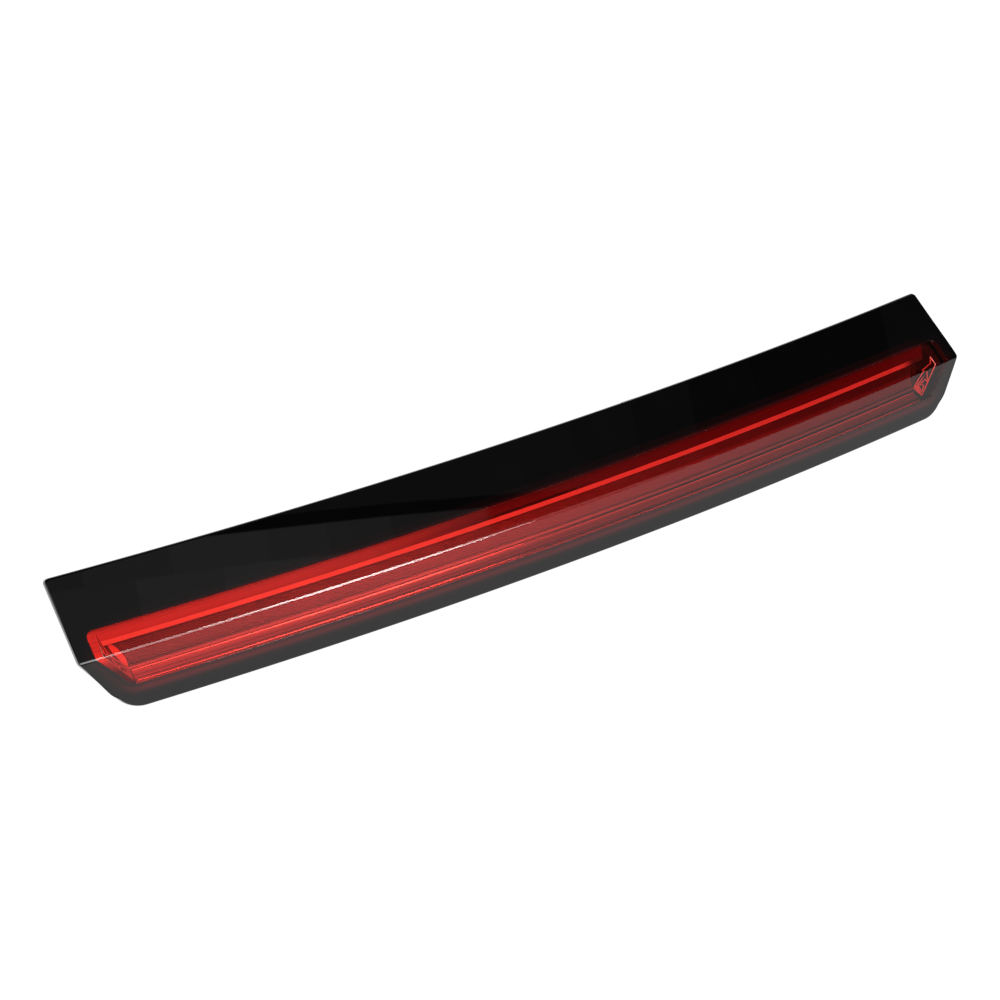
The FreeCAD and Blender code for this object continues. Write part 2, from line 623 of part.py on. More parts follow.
def edge_seal(reach, on_face):
    """Thin foam strip under the cap's overhang."""
    (low, high), deep = reach, SHELL + EDGE_SEAL_THICKNESS
    return bar([on_face(low, SHELL), on_face(high, SHELL), on_face(high, deep), on_face(low, deep)],
               EDGE_SEAL_HALF_LENGTH)


def stud_body(x):
    """Headed M6 stud held in its boss by a collar, with a lead-in chamfer at the tip."""
    shoulder = wall_face(x) + STUD_SHOULDER
    head = rod(STUD_HEAD, x, -CREASE_Z, (wall_face(x) - WALL, shoulder))
    collar = rod(STUD_COLLAR, x, -CREASE_Z, (shoulder, -CREASE_Y))
    shank = rod(STUD_RADIUS, x, -CREASE_Z, (-CREASE_Y, STUD_REACH - STUD_CHAMFER - CREASE_Y))
    tip = Part.makeCone(STUD_RADIUS, STUD_RADIUS - STUD_CHAMFER, STUD_CHAMFER,
                        V(x, STUD_REACH - STUD_CHAMFER, 0), V(0, 1, 0))
    return fused(head, collar, shank, tip)


def connector_socket():
    """Two-pole plug socket: a flanged insert with a keyed, open mouth that faces forward."""
    width, height, thickness = SOCKET_FLANGE
    flange = at_socket(width / 2, height / 2, SEAL_THICKNESS, SEAL_THICKNESS + thickness)
    hollow = at_socket(CAP_X / 2, CAP_Z / 2, SOCKET_FLOOR - WALL, SOCKET_REACH + 1)
    shell = fused(socket_body(-WALL, SOCKET_REACH), flange).cut(hollow)
    roof = CONNECTOR_Z + CAP_Z / 2 + SOCKET_WALL
    latch = block((CONNECTOR_X - LATCH_HALF_WIDTH, CONNECTOR_X + LATCH_HALF_WIDTH),
                  (SOCKET_BACK + LATCH_REACH[0], SOCKET_BACK + LATCH_REACH[1]), (roof, roof + LATCH_HEIGHT))
    floor = CONNECTOR_Z - CAP_Z / 2
    keys = [block((x - KEY_HALF_WIDTH, x + KEY_HALF_WIDTH), (SOCKET_BACK, SOCKET_BACK + SOCKET_REACH),
                  (floor - 0.2, floor + KEY_HEIGHT)) for x in (CONNECTOR_X + offset for offset in KEY_OFFSETS)]
    shell = fused(shell, latch, *keys)
    for x in pin_places():
        shell = shell.cut(pin_block(x, 0, (HOUSING_BACK - WALL - 1, HOUSING_BACK + OVERRUN)))
    return shell


def connector_seal():
    """Flat rubber ring between the socket's flange and the back wall."""
    ring = at_socket(SOCKET_FLANGE[0] / 2, SOCKET_FLANGE[1] / 2, 0, SEAL_THICKNESS)
    wall_side = bar([(BACK_INNER, HOUSING_BOTTOM), (BACK_INNER, HOUSING_TOP),
                     (HOUSING_BACK, HOUSING_TOP), (HOUSING_BACK, HOUSING_BOTTOM)])
    return ring.cut(socket_body(-OVERRUN, OVERRUN)).cut(wall_side)


def terminal(x):
    """Straight tinned blade from the board through the socket's floor."""
    return pin_block(x, 0, (BOARD_FRONT - 1.0, HOUSING_BACK + 9))


def vent_membrane():
    return along_bow(rod(VENT_DISC, 0, VENT_Z, (HOUSING_BACK + SAG_GAP, HOUSING_BACK + 0.4)), VENT_X)


def vent_cover():
    """Cap over the membrane: a disc on a slotted ring."""
    top = HOUSING_BACK + VENT_HEIGHT
    ring = rod(VENT_CAP, 0, VENT_Z, (HOUSING_BACK + SAG_GAP, top))
    ring = ring.makeFillet(0.8, [e for e in ring.Edges if e.CenterOfMass.y > CREASE_Y + top - 0.1])
    ring = ring.cut(rod(VENT_CAP - VENT_WALL, 0, VENT_Z, (HOUSING_BACK - 1, top - 1)))
    for turn in (0, 60, 120):
        slot = block((-1.5 * VENT_CAP, 1.5 * VENT_CAP), (HOUSING_BACK + 0.9, HOUSING_BACK + 1.9),
                     (VENT_Z - 1.2, VENT_Z + 1.2))
        slot.rotate(on_plane((HOUSING_BACK, VENT_Z)), V(0, 1, 0), turn)
        ring = ring.cut(slot)
    return along_bow(ring, VENT_X)


# ---- Export -------------------------------------------------------------------------------------


def parts():
    yield "black_bezel", black_bezel()
    yield "outer_lens", outer_lens()
    yield "trough_reflector", trough_reflector()
    yield "inner_lens", inner_lens()
    yield "reflector_grid", reflector_grid()
    yield "led_board", led_board()
    for number, x in enumerate(led_places(), 1):
        yield f"led_{number:02d}", led_package(x)
    for number, x in enumerate(RESISTOR_PLACES, 1):
        yield f"resistor_{number}", board_component((x, RESISTOR_UP), RESISTOR_SIZE)
    yield "driver_chip", board_component(DRIVER_PLACE, DRIVER_SIZE)
    yield "protection_diode", board_component(DIODE_PLACE, DIODE_SIZE)
    yield "filter_capacitor", board_component(CAPACITOR_PLACE, CAPACITOR_SIZE)
    yield "board_screws", board_screws()
    yield "rear_housing", rear_housing()
    yield "mounting_gasket", mounting_gasket()
    yield "upper_edge_seal", edge_seal(UPPER_SEAL, on_top)
    yield "lower_edge_seal", edge_seal(LOWER_SEAL, on_rear)
    yield "stud_left", stud_body(-STUD_SPACING / 2)
    yield "stud_right", stud_body(STUD_SPACING / 2)
    yield "connector_socket", connector_socket()
    yield "connector_seal", connector_seal()
    for name, x in zip(("terminal_ground", "terminal_supply"), pin_places()):
        yield name, terminal(x)
    yield "vent_membrane", vent_membrane()
    yield "vent_cover", vent_cover()


os.makedirs("parts", exist_ok=True)
for name, shape in parts():
    solids = shape.Solids
    if not shape.isValid() or not solids:
        raise RuntimeError(f"{name} is not a valid solid")
    kept = solids[0] if len(solids) == 1 else Part.Compound(solids)
    kept.exportStep(f"parts/{name}.step")
    box = kept.BoundBox
    print(f"{name:18s} {len(solids)} solid(s), {kept.Volume:9.1f} mm3, x {box.XMin:7.1f} {box.XMax:7.1f}  "
          f"y {box.YMin:6.1f} {box.YMax:6.1f}  z {box.ZMin:6.1f} {box.ZMax:6.1f}")
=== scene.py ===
"""Looks of the high-mounted brake light: meshes, materials, light and camera round the CAD frame."""

import math

import bmesh
import bpy
import numpy as np
from mathutils import Matrix, Vector


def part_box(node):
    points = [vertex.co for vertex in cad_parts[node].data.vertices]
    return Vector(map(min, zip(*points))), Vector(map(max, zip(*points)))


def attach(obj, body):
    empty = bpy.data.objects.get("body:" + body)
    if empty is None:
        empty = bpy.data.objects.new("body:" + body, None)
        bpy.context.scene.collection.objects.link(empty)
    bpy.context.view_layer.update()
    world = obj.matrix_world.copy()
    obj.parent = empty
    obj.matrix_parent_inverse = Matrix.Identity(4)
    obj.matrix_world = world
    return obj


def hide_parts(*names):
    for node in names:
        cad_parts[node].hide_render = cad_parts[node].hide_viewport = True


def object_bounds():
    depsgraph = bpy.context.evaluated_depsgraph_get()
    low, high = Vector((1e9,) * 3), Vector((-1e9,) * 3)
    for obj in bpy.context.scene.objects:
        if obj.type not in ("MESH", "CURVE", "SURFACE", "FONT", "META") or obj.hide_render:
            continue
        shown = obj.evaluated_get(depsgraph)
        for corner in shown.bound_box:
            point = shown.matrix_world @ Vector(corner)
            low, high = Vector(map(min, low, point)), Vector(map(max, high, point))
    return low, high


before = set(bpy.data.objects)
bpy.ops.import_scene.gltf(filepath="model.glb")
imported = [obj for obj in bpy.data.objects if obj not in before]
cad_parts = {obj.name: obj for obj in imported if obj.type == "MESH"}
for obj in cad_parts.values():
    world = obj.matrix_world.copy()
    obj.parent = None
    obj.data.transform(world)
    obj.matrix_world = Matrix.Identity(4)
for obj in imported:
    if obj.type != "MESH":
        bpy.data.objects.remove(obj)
CAD_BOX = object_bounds()

# ---- Shape of the lamp, in millimetres; section values are (forward, up) from the crease ----------

MM = 0.001
BOW_RADIUS = 2500.0
CREASE_Y, CREASE_Z = -50.0, 8.0
TOP_FACE, REAR_FACE = (34.5, 18.7), (-5.1, -25.1)
CREASE_ROUND = 2.2
SHELL, FLANGE, WALL = 3.0, 1.5, 2.2

CAP = dict(half=225.0, top_step=0.8, rear_step=16.2, corners=(2.0, 3.0, 13.0))
WINDOW = dict(half=218.2, top=12.6, top_step=0.2, rear=15.2, rear_step=12.0, corners=(3.0, 2.5, 6.0))
FLANGE_OUTLINE = dict(half=219.0, top=15.0, top_step=1.7, rear=16.0, rear_step=13.2,
                      corners=(3.0, 2.5, 6.0))
LENS_GAP = 0.01
EDGE_ROUND, WINDOW_ROUND = 0.5, 0.02

# Painted red glow on the bezel, standing in for light from the window: distances outside the window, and its
# strength at GLOW_STOPS on each face
GLOW_REACHES = (6.6, 5.2, 4.4, 3.8, 3.3, 2.9, 2.5, 2.1, 1.7, 1.2, 0.7, 0.35)
GLOW_STOPS = (0.0, 0.6, 1.2, 1.8, 2.3, 2.9, 3.5, 4.2, 5.2, 6.6)
GLOW_ABOVE = (0.36, 0.24, 0.10, 0.04, 0.03, 0.03, 0.05, 0.02, 0.0, 0.0)
GLOW_BELOW = (0.60, 0.40, 0.50, 0.85, 1.00, 0.80, 0.45, 0.15, 0.04, 0.0)
GLOW_TURN = 6.0                # the two strengths blend this far to each side of the crease
GLOW_END, GLOW_END_FADE = 200.0, 12.0

HOUSING_TOP, HOUSING_BOTTOM = 8.5, -22.0
SKIRT_INSET, SKIRT_DEPTH, END_DRAFT, END_WALL = 1.5, 5.0, 0.28, 1.6
WELD_LIP, WELD_LIP_WIDTH = 1.0, 1.6

COLUMNS = 200                  # mesh steps along the lamp
RUN_IN = 9.0                   # straight stretch of an outline before its first corner
CORNER_STEPS = (6, 6, 9)
CREASE_BAND = (1.6, 1.0, 0.75, 0.5, 0.25, 0.0, -0.25, -0.5, -0.75, -1.0, -1.6)
ARC = [math.radians(a) for a in (0, 30, 60, 90)]
SHARP, ROUNDED = math.radians(35), math.radians(32)
WELD = 0.00001


def unit(a):
    length = math.hypot(*a)
    return (a[0] / length, a[1] / length)


TOP_DIR, REAR_DIR = unit(TOP_FACE), unit(REAR_FACE)
TOP_WIDTH, REAR_WIDTH = math.hypot(*TOP_FACE), math.hypot(*REAR_FACE)
TOP_IN = (TOP_DIR[1], -TOP_DIR[0])
REAR_IN = (-REAR_DIR[1], REAR_DIR[0])
DRAW = unit((TOP_IN[0] + REAR_IN[0], TOP_IN[1] + REAR_IN[1]))
ACROSS = (-DRAW[1], DRAW[0])
HALF_TURN = math.acos(TOP_IN[0] * DRAW[0] + TOP_IN[1] * DRAW[1])
FLATTEN = math.cos(HALF_TURN)
TANGENT = CREASE_ROUND * math.tan(HALF_TURN)
CAP.update(top=TOP_WIDTH, rear=REAR_WIDTH)


def place(x, forward, up):
    """A section point carried round the bow to x, in metres."""
    y = CREASE_Y + BOW_RADIUS - math.sqrt((BOW_RADIUS - forward) ** 2 - x * x)
    return Vector((x * MM, y * MM, (CREASE_Z + up) * MM))


def bow_shift(x):
    return BOW_RADIUS - math.sqrt(BOW_RADIUS ** 2 - x * x)


def profile(s):
    """The outer face's section point, s along it from the crease, up the top face when positive."""
    if s >= TANGENT:
        return (TOP_DIR[0] * s, TOP_DIR[1] * s)
    if s <= -TANGENT:
        return (-REAR_DIR[0] * s, -REAR_DIR[1] * s)
    turn = HALF_TURN * s / TANGENT
    reach = CREASE_ROUND / FLATTEN
    inward = reach - CREASE_ROUND * math.cos(turn)
    along = CREASE_ROUND * math.sin(turn)
    return (DRAW[0] * inward + ACROSS[0] * along, DRAW[1] * inward + ACROSS[1] * along)


def on_face(x, s, depth=0.0):
    forward, up = profile(s)
    sink = depth / FLATTEN
    return place(x, forward + DRAW[0] * sink, up + DRAW[1] * sink)


# ---- Outlines on the folded face -----------------------------------------------------------------


def fillet(before, corner, after, radius, steps):
    """Points of the arc that rounds one corner of a flat outline."""
    corner = Vector(corner)
    first, last = (Vector(before) - corner).normalized(), (Vector(after) - corner).normalized()
    half = first.angle(last) / 2
    reach = radius / math.tan(half)
    centre = corner + (first + last).normalized() * (radius / math.sin(half))
    start, end = corner + first * reach - centre, corner + last * reach - centre
    turn = math.copysign(math.pi - 2 * half, start.x * end.y - start.y * end.x)
    return [centre + Matrix.Rotation(turn * i / steps, 2) @ start for i in range(steps + 1)]


def end_rows(half, top, top_step, rear, rear_step, corners, inset=0.0):
    """The right-hand end of an outline as rows (s, x) from its upper edge to its lower edge."""
    def flat(x, s):
        return (x, s * FLATTEN + ACROSS[0] * bow_shift(x))

    half, top, rear = half - inset, top - inset, rear - inset
    radii = [max(r - inset, 0.15) for r in corners]
    high, crease, low = flat(half - top_step, top), flat(half, 0), flat(half - rear_step, -rear)
    upper = fillet(flat(half - top_step - RUN_IN, top), high, crease, radii[0], CORNER_STEPS[0])
    middle = fillet(high, crease, low, radii[1], CORNER_STEPS[1])
    lower = fillet(crease, low, flat(half - rear_step - RUN_IN, -rear), radii[2], CORNER_STEPS[2])
    line = upper + middle + lower
    xs = np.array([p.x for p in line])
    ss = np.array([(p.y - ACROSS[0] * bow_shift(p.x)) / FLATTEN for p in line])

    band = [TANGENT * k for k in CREASE_BAND]
    top_arc, low_arc = list(ss[:CORNER_STEPS[0] + 1]), list(ss[-CORNER_STEPS[2] - 1:])
    levels = top_arc + list(np.linspace(top_arc[-1], band[0], 5)[1:-1]) + band
    levels += list(np.linspace(band[-1], low_arc[0], 5)[1:-1]) + low_arc
    levels[0], levels[-1] = top, -rear
    ends = np.interp([-s for s in levels], [-s for s in ss], xs)
    ends[0], ends[-1] = xs[0], xs[-1]
    return list(zip(levels, ends))


def columns(half_length):
    return [half_length * (2 * i / COLUMNS - 1) for i in range(COLUMNS + 1)]


def around(rows, point):
    """Points once round an outline: upper edge, right end, lower edge, left end."""
    (top, top_x), (low, low_x) = rows[0], rows[-1]
    loop = [point(x, top) for x in columns(top_x)]
    loop += [point(x, s) for s, x in rows[1:-1]]
    loop += [point(x, low) for x in reversed(columns(low_x))]
    loop += [point(-x, s) for s, x in reversed(rows[1:-1])]
    return loop


def face_loop(outline, inset=0.0, depth=0.0):
    return around(end_rows(**outline, inset=inset), lambda x, s: on_face(x, s, depth))


# ---- Mesh building -------------------------------------------------------------------------------


class Shape:
    """Collects vertices and faces, then becomes one object."""

    def __init__(self):
        self.verts, self.faces, self.marks, self.groups = [], [], [], []
        self.group = 0

    def add(self, points):
        start = len(self.verts)
        self.verts += [tuple(p) for p in points]
        self.marks += [0.0] * len(points)
        return list(range(start, start + len(points)))

    def face(self, corners):
        self.faces.append(corners)
        self.groups.append(self.group)

    def skin(self, loops, closed=True, ring=False):
        """Quads between successive loops; ring also joins the last loop to the first."""
        rows = [self.add(loop) for loop in loops]
        pairs = list(zip(rows, rows[1:])) + ([(rows[-1], rows[0])] if ring else [])
        for a, b in pairs:
            count = len(a)
            for i in range(count if closed else count - 1):
                j = (i + 1) % count
                self.face((a[i], a[j], b[j], b[i]))
        return rows

    def cap(self, loop):
        self.face(tuple(loop))

    def build(self, name, slot, materials, node):
        """The finished object, standing for one CAD node."""
        mesh = bpy.data.meshes.new(name)
        mesh.from_pydata(self.verts, [], self.faces)
        marks = mesh.attributes.new("mark", "FLOAT", "POINT")
        marks.data.foreach_set("value", self.marks)
        for polygon, group in zip(mesh.polygons, self.groups):
            polygon.material_index = group
        work = bmesh.new()
        work.from_mesh(mesh)
        bmesh.ops.remove_doubles(work, verts=work.verts, dist=WELD)
        bmesh.ops.recalc_face_normals(work, faces=work.faces)
        for f in work.faces:
            f.smooth = True
        for edge in work.edges:
            edge.smooth = len(edge.link_faces) != 2 or edge.calc_face_angle() < SHARP
        work.to_mesh(mesh)
        work.free()
        for material in materials:
            mesh.materials.append(material)
        piece = bpy.data.objects.new(name, mesh)
        bpy.context.scene.collection.objects.link(piece)
        finish_edges(piece)
        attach(piece, "root")
        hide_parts(node)
        return piece


def finish_edges(piece, bevel=0.0):
    """Rounds the edges by bevel, in millimetres, and evens the shading."""
    if bevel:
        rounding = piece.modifiers.new("rounded edges", "BEVEL")
        rounding.width = bevel * MM
        rounding.segments = 2
        rounding.limit_method = "ANGLE"
        rounding.angle_limit = ROUNDED
        rounding.use_clamp_overlap = True
    normals = piece.modifiers.new("even shading", "WEIGHTED_NORMAL")
    normals.keep_sharp = True
    normals.weight = 90


# ---- Cap: black bezel and red outer lens ---------------------------------------------------------

GUSSETS, GUSSET_SPACING, GUSSET_HALF = 11, 38.0, 0.9
GUSSET_RUN, GUSSET_FOOT = (22.5, 28.5), 9.0
SKIRT_LAP = 0.5                # how far the skirt and gussets run into the cap
NEAR_EDGE_SHARES = (0.03, 0.35, 0.65)    # loops of the face between the cap's edge and the glow


def fold(depth):
    """The crease's section point, depth below the outer face."""
    return (DRAW[0] * depth / FLATTEN, DRAW[1] * depth / FLATTEN)


def inner_forward(up):
    """How far forward the shell's inner face lies at a height."""
    above = up > fold(SHELL)[1]
    direction, inward = (TOP_DIR, TOP_IN) if above else (REAR_DIR, REAR_IN)
    start = (inward[0] * SHELL, inward[1] * SHELL)
    return start[0] + direction[0] * (up - start[1]) / direction[1]


def blended_loop(outer, inner, share):
    """A loop on the face between two outlines."""
    rows = [(a[0] + (b[0] - a[0]) * share, a[1] + (b[1] - a[1]) * share) for a, b in zip(outer, inner)]
    return around(rows, lambda x, s: on_face(x, s))


def housing_end(forward, up, inset):
    """Half-length of the drafted, slanting end of the housing and skirt at a section point."""
    half = CAP["half"] - SKIRT_INSET - inset
    face, step = (TOP_FACE, CAP["top_step"]) if up >= 0 else (REAR_FACE, CAP["rear_step"])
    share = up / face[1]
    radius = BOW_RADIUS - forward
    x = half
    for _ in range(3):
        ahead = forward + radius - math.sqrt(radius ** 2 - x * x) - bow_shift(half) - face[0] * share
        x = half - step * share - END_DRAFT * ahead
    return x


def wall_loop(forward_at, grow, end_inset, corner=1.4):
    """Once round the skirt's or housing's wall, forward_at giving the section's forward value by height."""
    top, low = HOUSING_TOP + grow, HOUSING_BOTTOM - grow
    rows = []
    for a in ARC:
        rows.append((top - corner * (1 - math.cos(a)), corner * (1 - math.sin(a))))
    rows += [(up, 0.0) for up in (fold(SHELL)[1] + 4, fold(SHELL)[1], fold(SHELL)[1] - 6)]
    for a in reversed(ARC):
        rows.append((low + corner * (1 - math.cos(a)), corner * (1 - math.sin(a))))
    rows = [(up, housing_end(forward_at(up), up, end_inset) - cut) for up, cut in rows]
    return around(rows, lambda x, up: place(x, forward_at(up), up))


def add_skirt(shape):
    def at(offset):
        return lambda up: inner_forward(up) + offset

    lip = SKIRT_DEPTH - WELD_LIP_WIDTH
    inner = (-WALL, END_WALL)
    shape.skin([wall_loop(at(-SKIRT_LAP), 0, 0), wall_loop(at(lip), 0, 0),
                wall_loop(at(lip), WELD_LIP, -WELD_LIP), wall_loop(at(SKIRT_DEPTH), WELD_LIP, -WELD_LIP),
                wall_loop(at(SKIRT_DEPTH), *inner), wall_loop(at(-SKIRT_LAP), *inner)], ring=True)


def add_gussets(shape):
    """Thin webs under the front overhang."""
    foot_up = HOUSING_TOP + WELD_LIP + 0.4
    foot = inner_forward(foot_up)
    near, far = GUSSET_RUN
    outline = [(TOP_DIR[0] * s + TOP_IN[0] * d, TOP_DIR[1] * s + TOP_IN[1] * d)
               for s, d in ((near, SHELL - SKIRT_LAP), (far, SHELL - SKIRT_LAP), (far, SHELL))]
    outline += [(foot + GUSSET_FOOT, foot_up), (foot, foot_up)]
    for k in range(GUSSETS):
        x = -GUSSET_SPACING * (GUSSETS - 1) / 2 + GUSSET_SPACING * k
        left, right = [shape.add([place(x + side, *p) for p in outline])
                       for side in (-GUSSET_HALF, GUSSET_HALF)]
        shape.cap(left)
        shape.cap(list(reversed(right)))
        for i in range(len(outline)):
            j = (i + 1) % len(outline)
            shape.face((left[i], left[j], right[j], right[i]))


def painted_glow_loop(reach):
    """Strength of the red glow painted on the bezel, for the window's light, once round a loop, reach outside
    the window.
    """
    def strength(x, s):
        along = 0.5 + 0.5 * x / CAP["half"]
        above = np.interp(reach, GLOW_STOPS, GLOW_ABOVE) * (0.5 + 0.7 * along)
        below = np.interp(reach, GLOW_STOPS, GLOW_BELOW) * (0.85 - 0.35 * along)
        share = min(max((GLOW_TURN - s) / (2 * GLOW_TURN), 0.0), 1.0)
        end = min(max((abs(x) - GLOW_END) / GLOW_END_FADE, 0.0), 1.0)
        return (above + (below - above) * share) * (1.0 - 0.8 * end)

    return around(end_rows(**WINDOW, inset=-reach), strength)


def bezel(materials):
    """The folded cap with the window's opening, its skirt and its gussets."""
    shape = Shape()
    loops = [face_loop(CAP, 0, SHELL)]
    loops += [face_loop(CAP, EDGE_ROUND * (1 - math.cos(a)), EDGE_ROUND * (1 - math.sin(a))) for a in ARC]
    outer, inner = end_rows(**CAP, inset=EDGE_ROUND), end_rows(**WINDOW, inset=-GLOW_REACHES[0])
    loops += [blended_loop(outer, inner, share) for share in NEAR_EDGE_SHARES]
    # each loop's strength of painted glow, kept in the mark attribute
    painted_glows = [[0.0] * len(loops[0])] * len(loops)
    for reach in GLOW_REACHES:
        loops.append(face_loop(WINDOW, -reach))
        painted_glows.append(painted_glow_loop(reach))
    for a in ARC:
        loops.append(face_loop(WINDOW, WINDOW_ROUND * (math.sin(a) - 1), WINDOW_ROUND * (1 - math.cos(a))))
        painted_glows.append(painted_glow_loop(0))
    loops.append(face_loop(WINDOW, 0, SHELL))
    painted_glows.append(painted_glow_loop(0))
    rows = shape.skin(loops, ring=True)
    for row, glow in zip(rows, painted_glows):
        for i, mark in zip(row, glow):
            shape.marks[i] = mark
    add_skirt(shape)
    add_gussets(shape)
    return shape.build("bezel", "bezel_black", materials, "black_bezel")


def add_patch(shape, rows, point):
    shape.skin([[point(x, s) for x in columns(half)] for s, half in rows], closed=False)


def lens(materials):
    """Window with a rounded edge, on a thin flange behind the bezel."""
    shape = Shape()
    round_in = LENS_GAP + WINDOW_ROUND
    behind, deep = SHELL + 0.02, SHELL + FLANGE
    add_patch(shape, end_rows(**WINDOW, inset=round_in), lambda x, s: on_face(x, s))
    edge = [face_loop(WINDOW, round_in - WINDOW_ROUND * math.sin(a), WINDOW_ROUND * (1 - math.cos(a)))
            for a in ARC]
    shape.skin(edge + [face_loop(WINDOW, LENS_GAP, behind)])
    shape.group = 1
    shape.skin([face_loop(WINDOW, LENS_GAP, behind), face_loop(FLANGE_OUTLINE, 0, behind),
                face_loop(FLANGE_OUTLINE, 0, deep), face_loop(WINDOW, 0, deep)])
    add_patch(shape, end_rows(**WINDOW), lambda x, s: on_face(x, s, deep))
    return shape.build("lens", "lens_red", materials, "outer_lens")


# ---- Tray behind the window ----------------------------------------------------------------------

RIM_DEPTH = SHELL + FLANGE + 0.1
RIM_LAP = 2.2
TRAY_HALF, TRAY_DRAFT, TRAY_TOP_STEP, TRAY_REAR_STEP = 218.4, 0.72, 3.1, 19.0
SHELF_FOOT, FLOOR_HIGH, FLOOR_LOW, STEP_LOW = (10.7, -2.9), (14.1, -3.9), (7.2, -14.0), (6.4, -15.4)
FLOOR_LIP = 0.8
WALL_MIDDLE = (9.6, -6.6)      # section point of the end walls between shelf and lower wall
RIM_REACH = 4.2                # rim's ends outside the tray's ends
RING_SETBACK = 0.6             # rings' ends inside the tray's ends
HIGH_REACH, LOW_REACH = 0.2, 0.9
LIP_SHARE, RISER_SHARE, LINE_SHARE = 0.74, 0.7, 0.6
SHELF_SHARES = (0.08, 0.2, 0.32, 0.44, 0.57)
WALL_SHARES = (0.04, 0.2, 0.35, 0.5, 0.65, 0.8)
LOWER_STEPS = ((0.08, 0.0), (0.30, 0.0), (0.34, 0.3), (0.56, 0.3), (0.60, 0.6), (0.83, 0.6))    # share, depth
FLOOR_DIR = unit((FLOOR_HIGH[0] - FLOOR_LOW[0], FLOOR_HIGH[1] - FLOOR_LOW[1]))
FLOOR_IN = (FLOOR_DIR[1], -FLOOR_DIR[0])
FLOOR_WIDTH = math.hypot(FLOOR_HIGH[0] - FLOOR_LOW[0], FLOOR_HIGH[1] - FLOOR_LOW[1])
MOUTH_HIGH = tuple(TOP_DIR[i] * (WINDOW["top"] + RIM_LAP) + TOP_IN[i] * RIM_DEPTH for i in (0, 1))
MOUTH_LOW = tuple(REAR_DIR[i] * (WINDOW["rear"] + RIM_LAP) + REAR_IN[i] * RIM_DEPTH for i in (0, 1))


def on_floor(along, depth=0.0):
    return tuple(FLOOR_LOW[i] + FLOOR_DIR[i] * along + FLOOR_IN[i] * depth for i in (0, 1))


def between(a, b, share):
    return tuple(a[i] + (b[i] - a[i]) * share for i in (0, 1))


def tray_end(point):
    """Half-length of the tray's slanting end wall at a section point."""
    forward, up = point
    radius = BOW_RADIUS - forward
    x, ends = TRAY_HALF, []
    for face, step in ((TOP_FACE, TRAY_TOP_STEP), (REAR_FACE, TRAY_REAR_STEP)):
        for _ in range(3):
            ahead = forward + radius - math.sqrt(radius ** 2 - x * x) - bow_shift(TRAY_HALF)
            size = face[0] * DRAW[1] - face[1] * DRAW[0]
            along = (ahead * DRAW[1] - up * DRAW[0]) / size
            deep = (face[0] * up - face[1] * ahead) / size
            x = TRAY_HALF - step * along - TRAY_DRAFT * deep
        ends.append(x)
    return min(ends)


END_STEPS = 10
SLOT_SETBACK, SLOT_BULGE = 1.8, 1.7    # slot's ends inside the end walls, and how far they bulge inwards

# Raised ribs on both end walls, as section points, with a dark patch and a patch of painted glow in the ribs'
# colour
END_FRAME = ((7.4, -14.7), (1.6, -15.9), (4.0, -3.8), (4.3, -3.0), (8.2, -0.8), (6.5, -3.4), (8.4, -7.1),
             (7.5, -6.9), (7.4, -14.7))
END_ZIGZAG = ((5.9, -6.9), (2.7, -10.5), (4.6, -9.8), (5.4, -12.6), (3.6, -12.0), (2.6, -14.6))
END_WINDOW = ((8.2, -0.8), (4.3, -3.0), (4.0, -3.8), (6.5, -3.4))
END_PAINTED_GLOW = ((7.2, -14.4), (2.4, -15.7), (2.6, -14.3), (5.6, -12.9), (5.9, -8.2))
END_RIB = 0.26
WINDOW_OFF, PAINTED_GLOW_OFF, RIB_OFF = 0.72, 0.70, 0.80    # how far the pieces stand off the end wall


def tray_ring(high, middle, low, setback=0.0, sink=0.0, bulge=0.0):
    """Once round the tray: along its upper line, down the end wall, along its lower line and back up."""
    half = END_STEPS // 2
    path = [between(high, middle, k / half) for k in range(half)]
    path += [between(middle, low, k / half) for k in range(half + 1)]
    path = [(p[0] + DRAW[0] * sink, p[1] + DRAW[1] * sink) for p in path]
    ends = [tray_end(p) - setback - bulge * math.sin(math.pi * k / END_STEPS) for k, p in enumerate(path)]
    loop = [place(x, *path[0]) for x in columns(ends[0])]
    loop += [place(x, *p) for p, x in zip(path[1:-1], ends[1:-1])]
    loop += [place(x, *path[-1]) for x in reversed(columns(ends[-1]))]
    loop += [place(-x, *p) for p, x in reversed(list(zip(path[1:-1], ends[1:-1])))]
    return loop


def outward(point, along, reach):
    return tuple(point[i] + along[i] * reach for i in (0, 1))


def lowered(point, deep):
    return tuple(point[i] + DRAW[i] * deep for i in (0, 1))


# The tray's materials, whose colours paint light and shade along the lamp, and which of them each ring has on
# its upper line, its end walls and its lower line
TRAY_MATERIALS_WITH_PAINTED_LIGHT = ("tray", "tray_edge", "tray_dark", "tray_frame", "tray_wall", "tray_line", "tray_rib",
                 "tray_bead", "tray_gap", "tray_slot_end_painted_glint")
SHELF, EDGE, DARK, FRAME, LOWER_WALL, LINE, RIB, BEAD, GAP, SLOT_END = range(len(TRAY_MATERIALS_WITH_PAINTED_LIGHT))
TRAY_GROUPS = {
    "rim": (FRAME, FRAME, EDGE), "wall": (SHELF, FRAME, LOWER_WALL), "groove": (SHELF, DARK, DARK),
    "gap": (GAP, FRAME, LOWER_WALL), "edge": (EDGE, FRAME, EDGE), "riser": (DARK, DARK, LOWER_WALL),
    "line": (DARK, DARK, LINE), "lip": (SHELF, SLOT_END, DARK),
}

# Round beads along the tray: section point, radius
BEADS = ((STEP_LOW, 0.55), (between(MOUTH_LOW, STEP_LOW, 0.16), 0.4))
BEAD_SHIFT, BEAD_SIDES, BEAD_END = (-0.12, 0.1), 12, 1.0


def side_of(index):
    """0 on the upper line, 1 on an end wall, 2 on the lower line, for a face of the tray's rings."""
    if index < COLUMNS:
        return 0
    return 2 if COLUMNS + END_STEPS <= index < 2 * COLUMNS + END_STEPS else 1


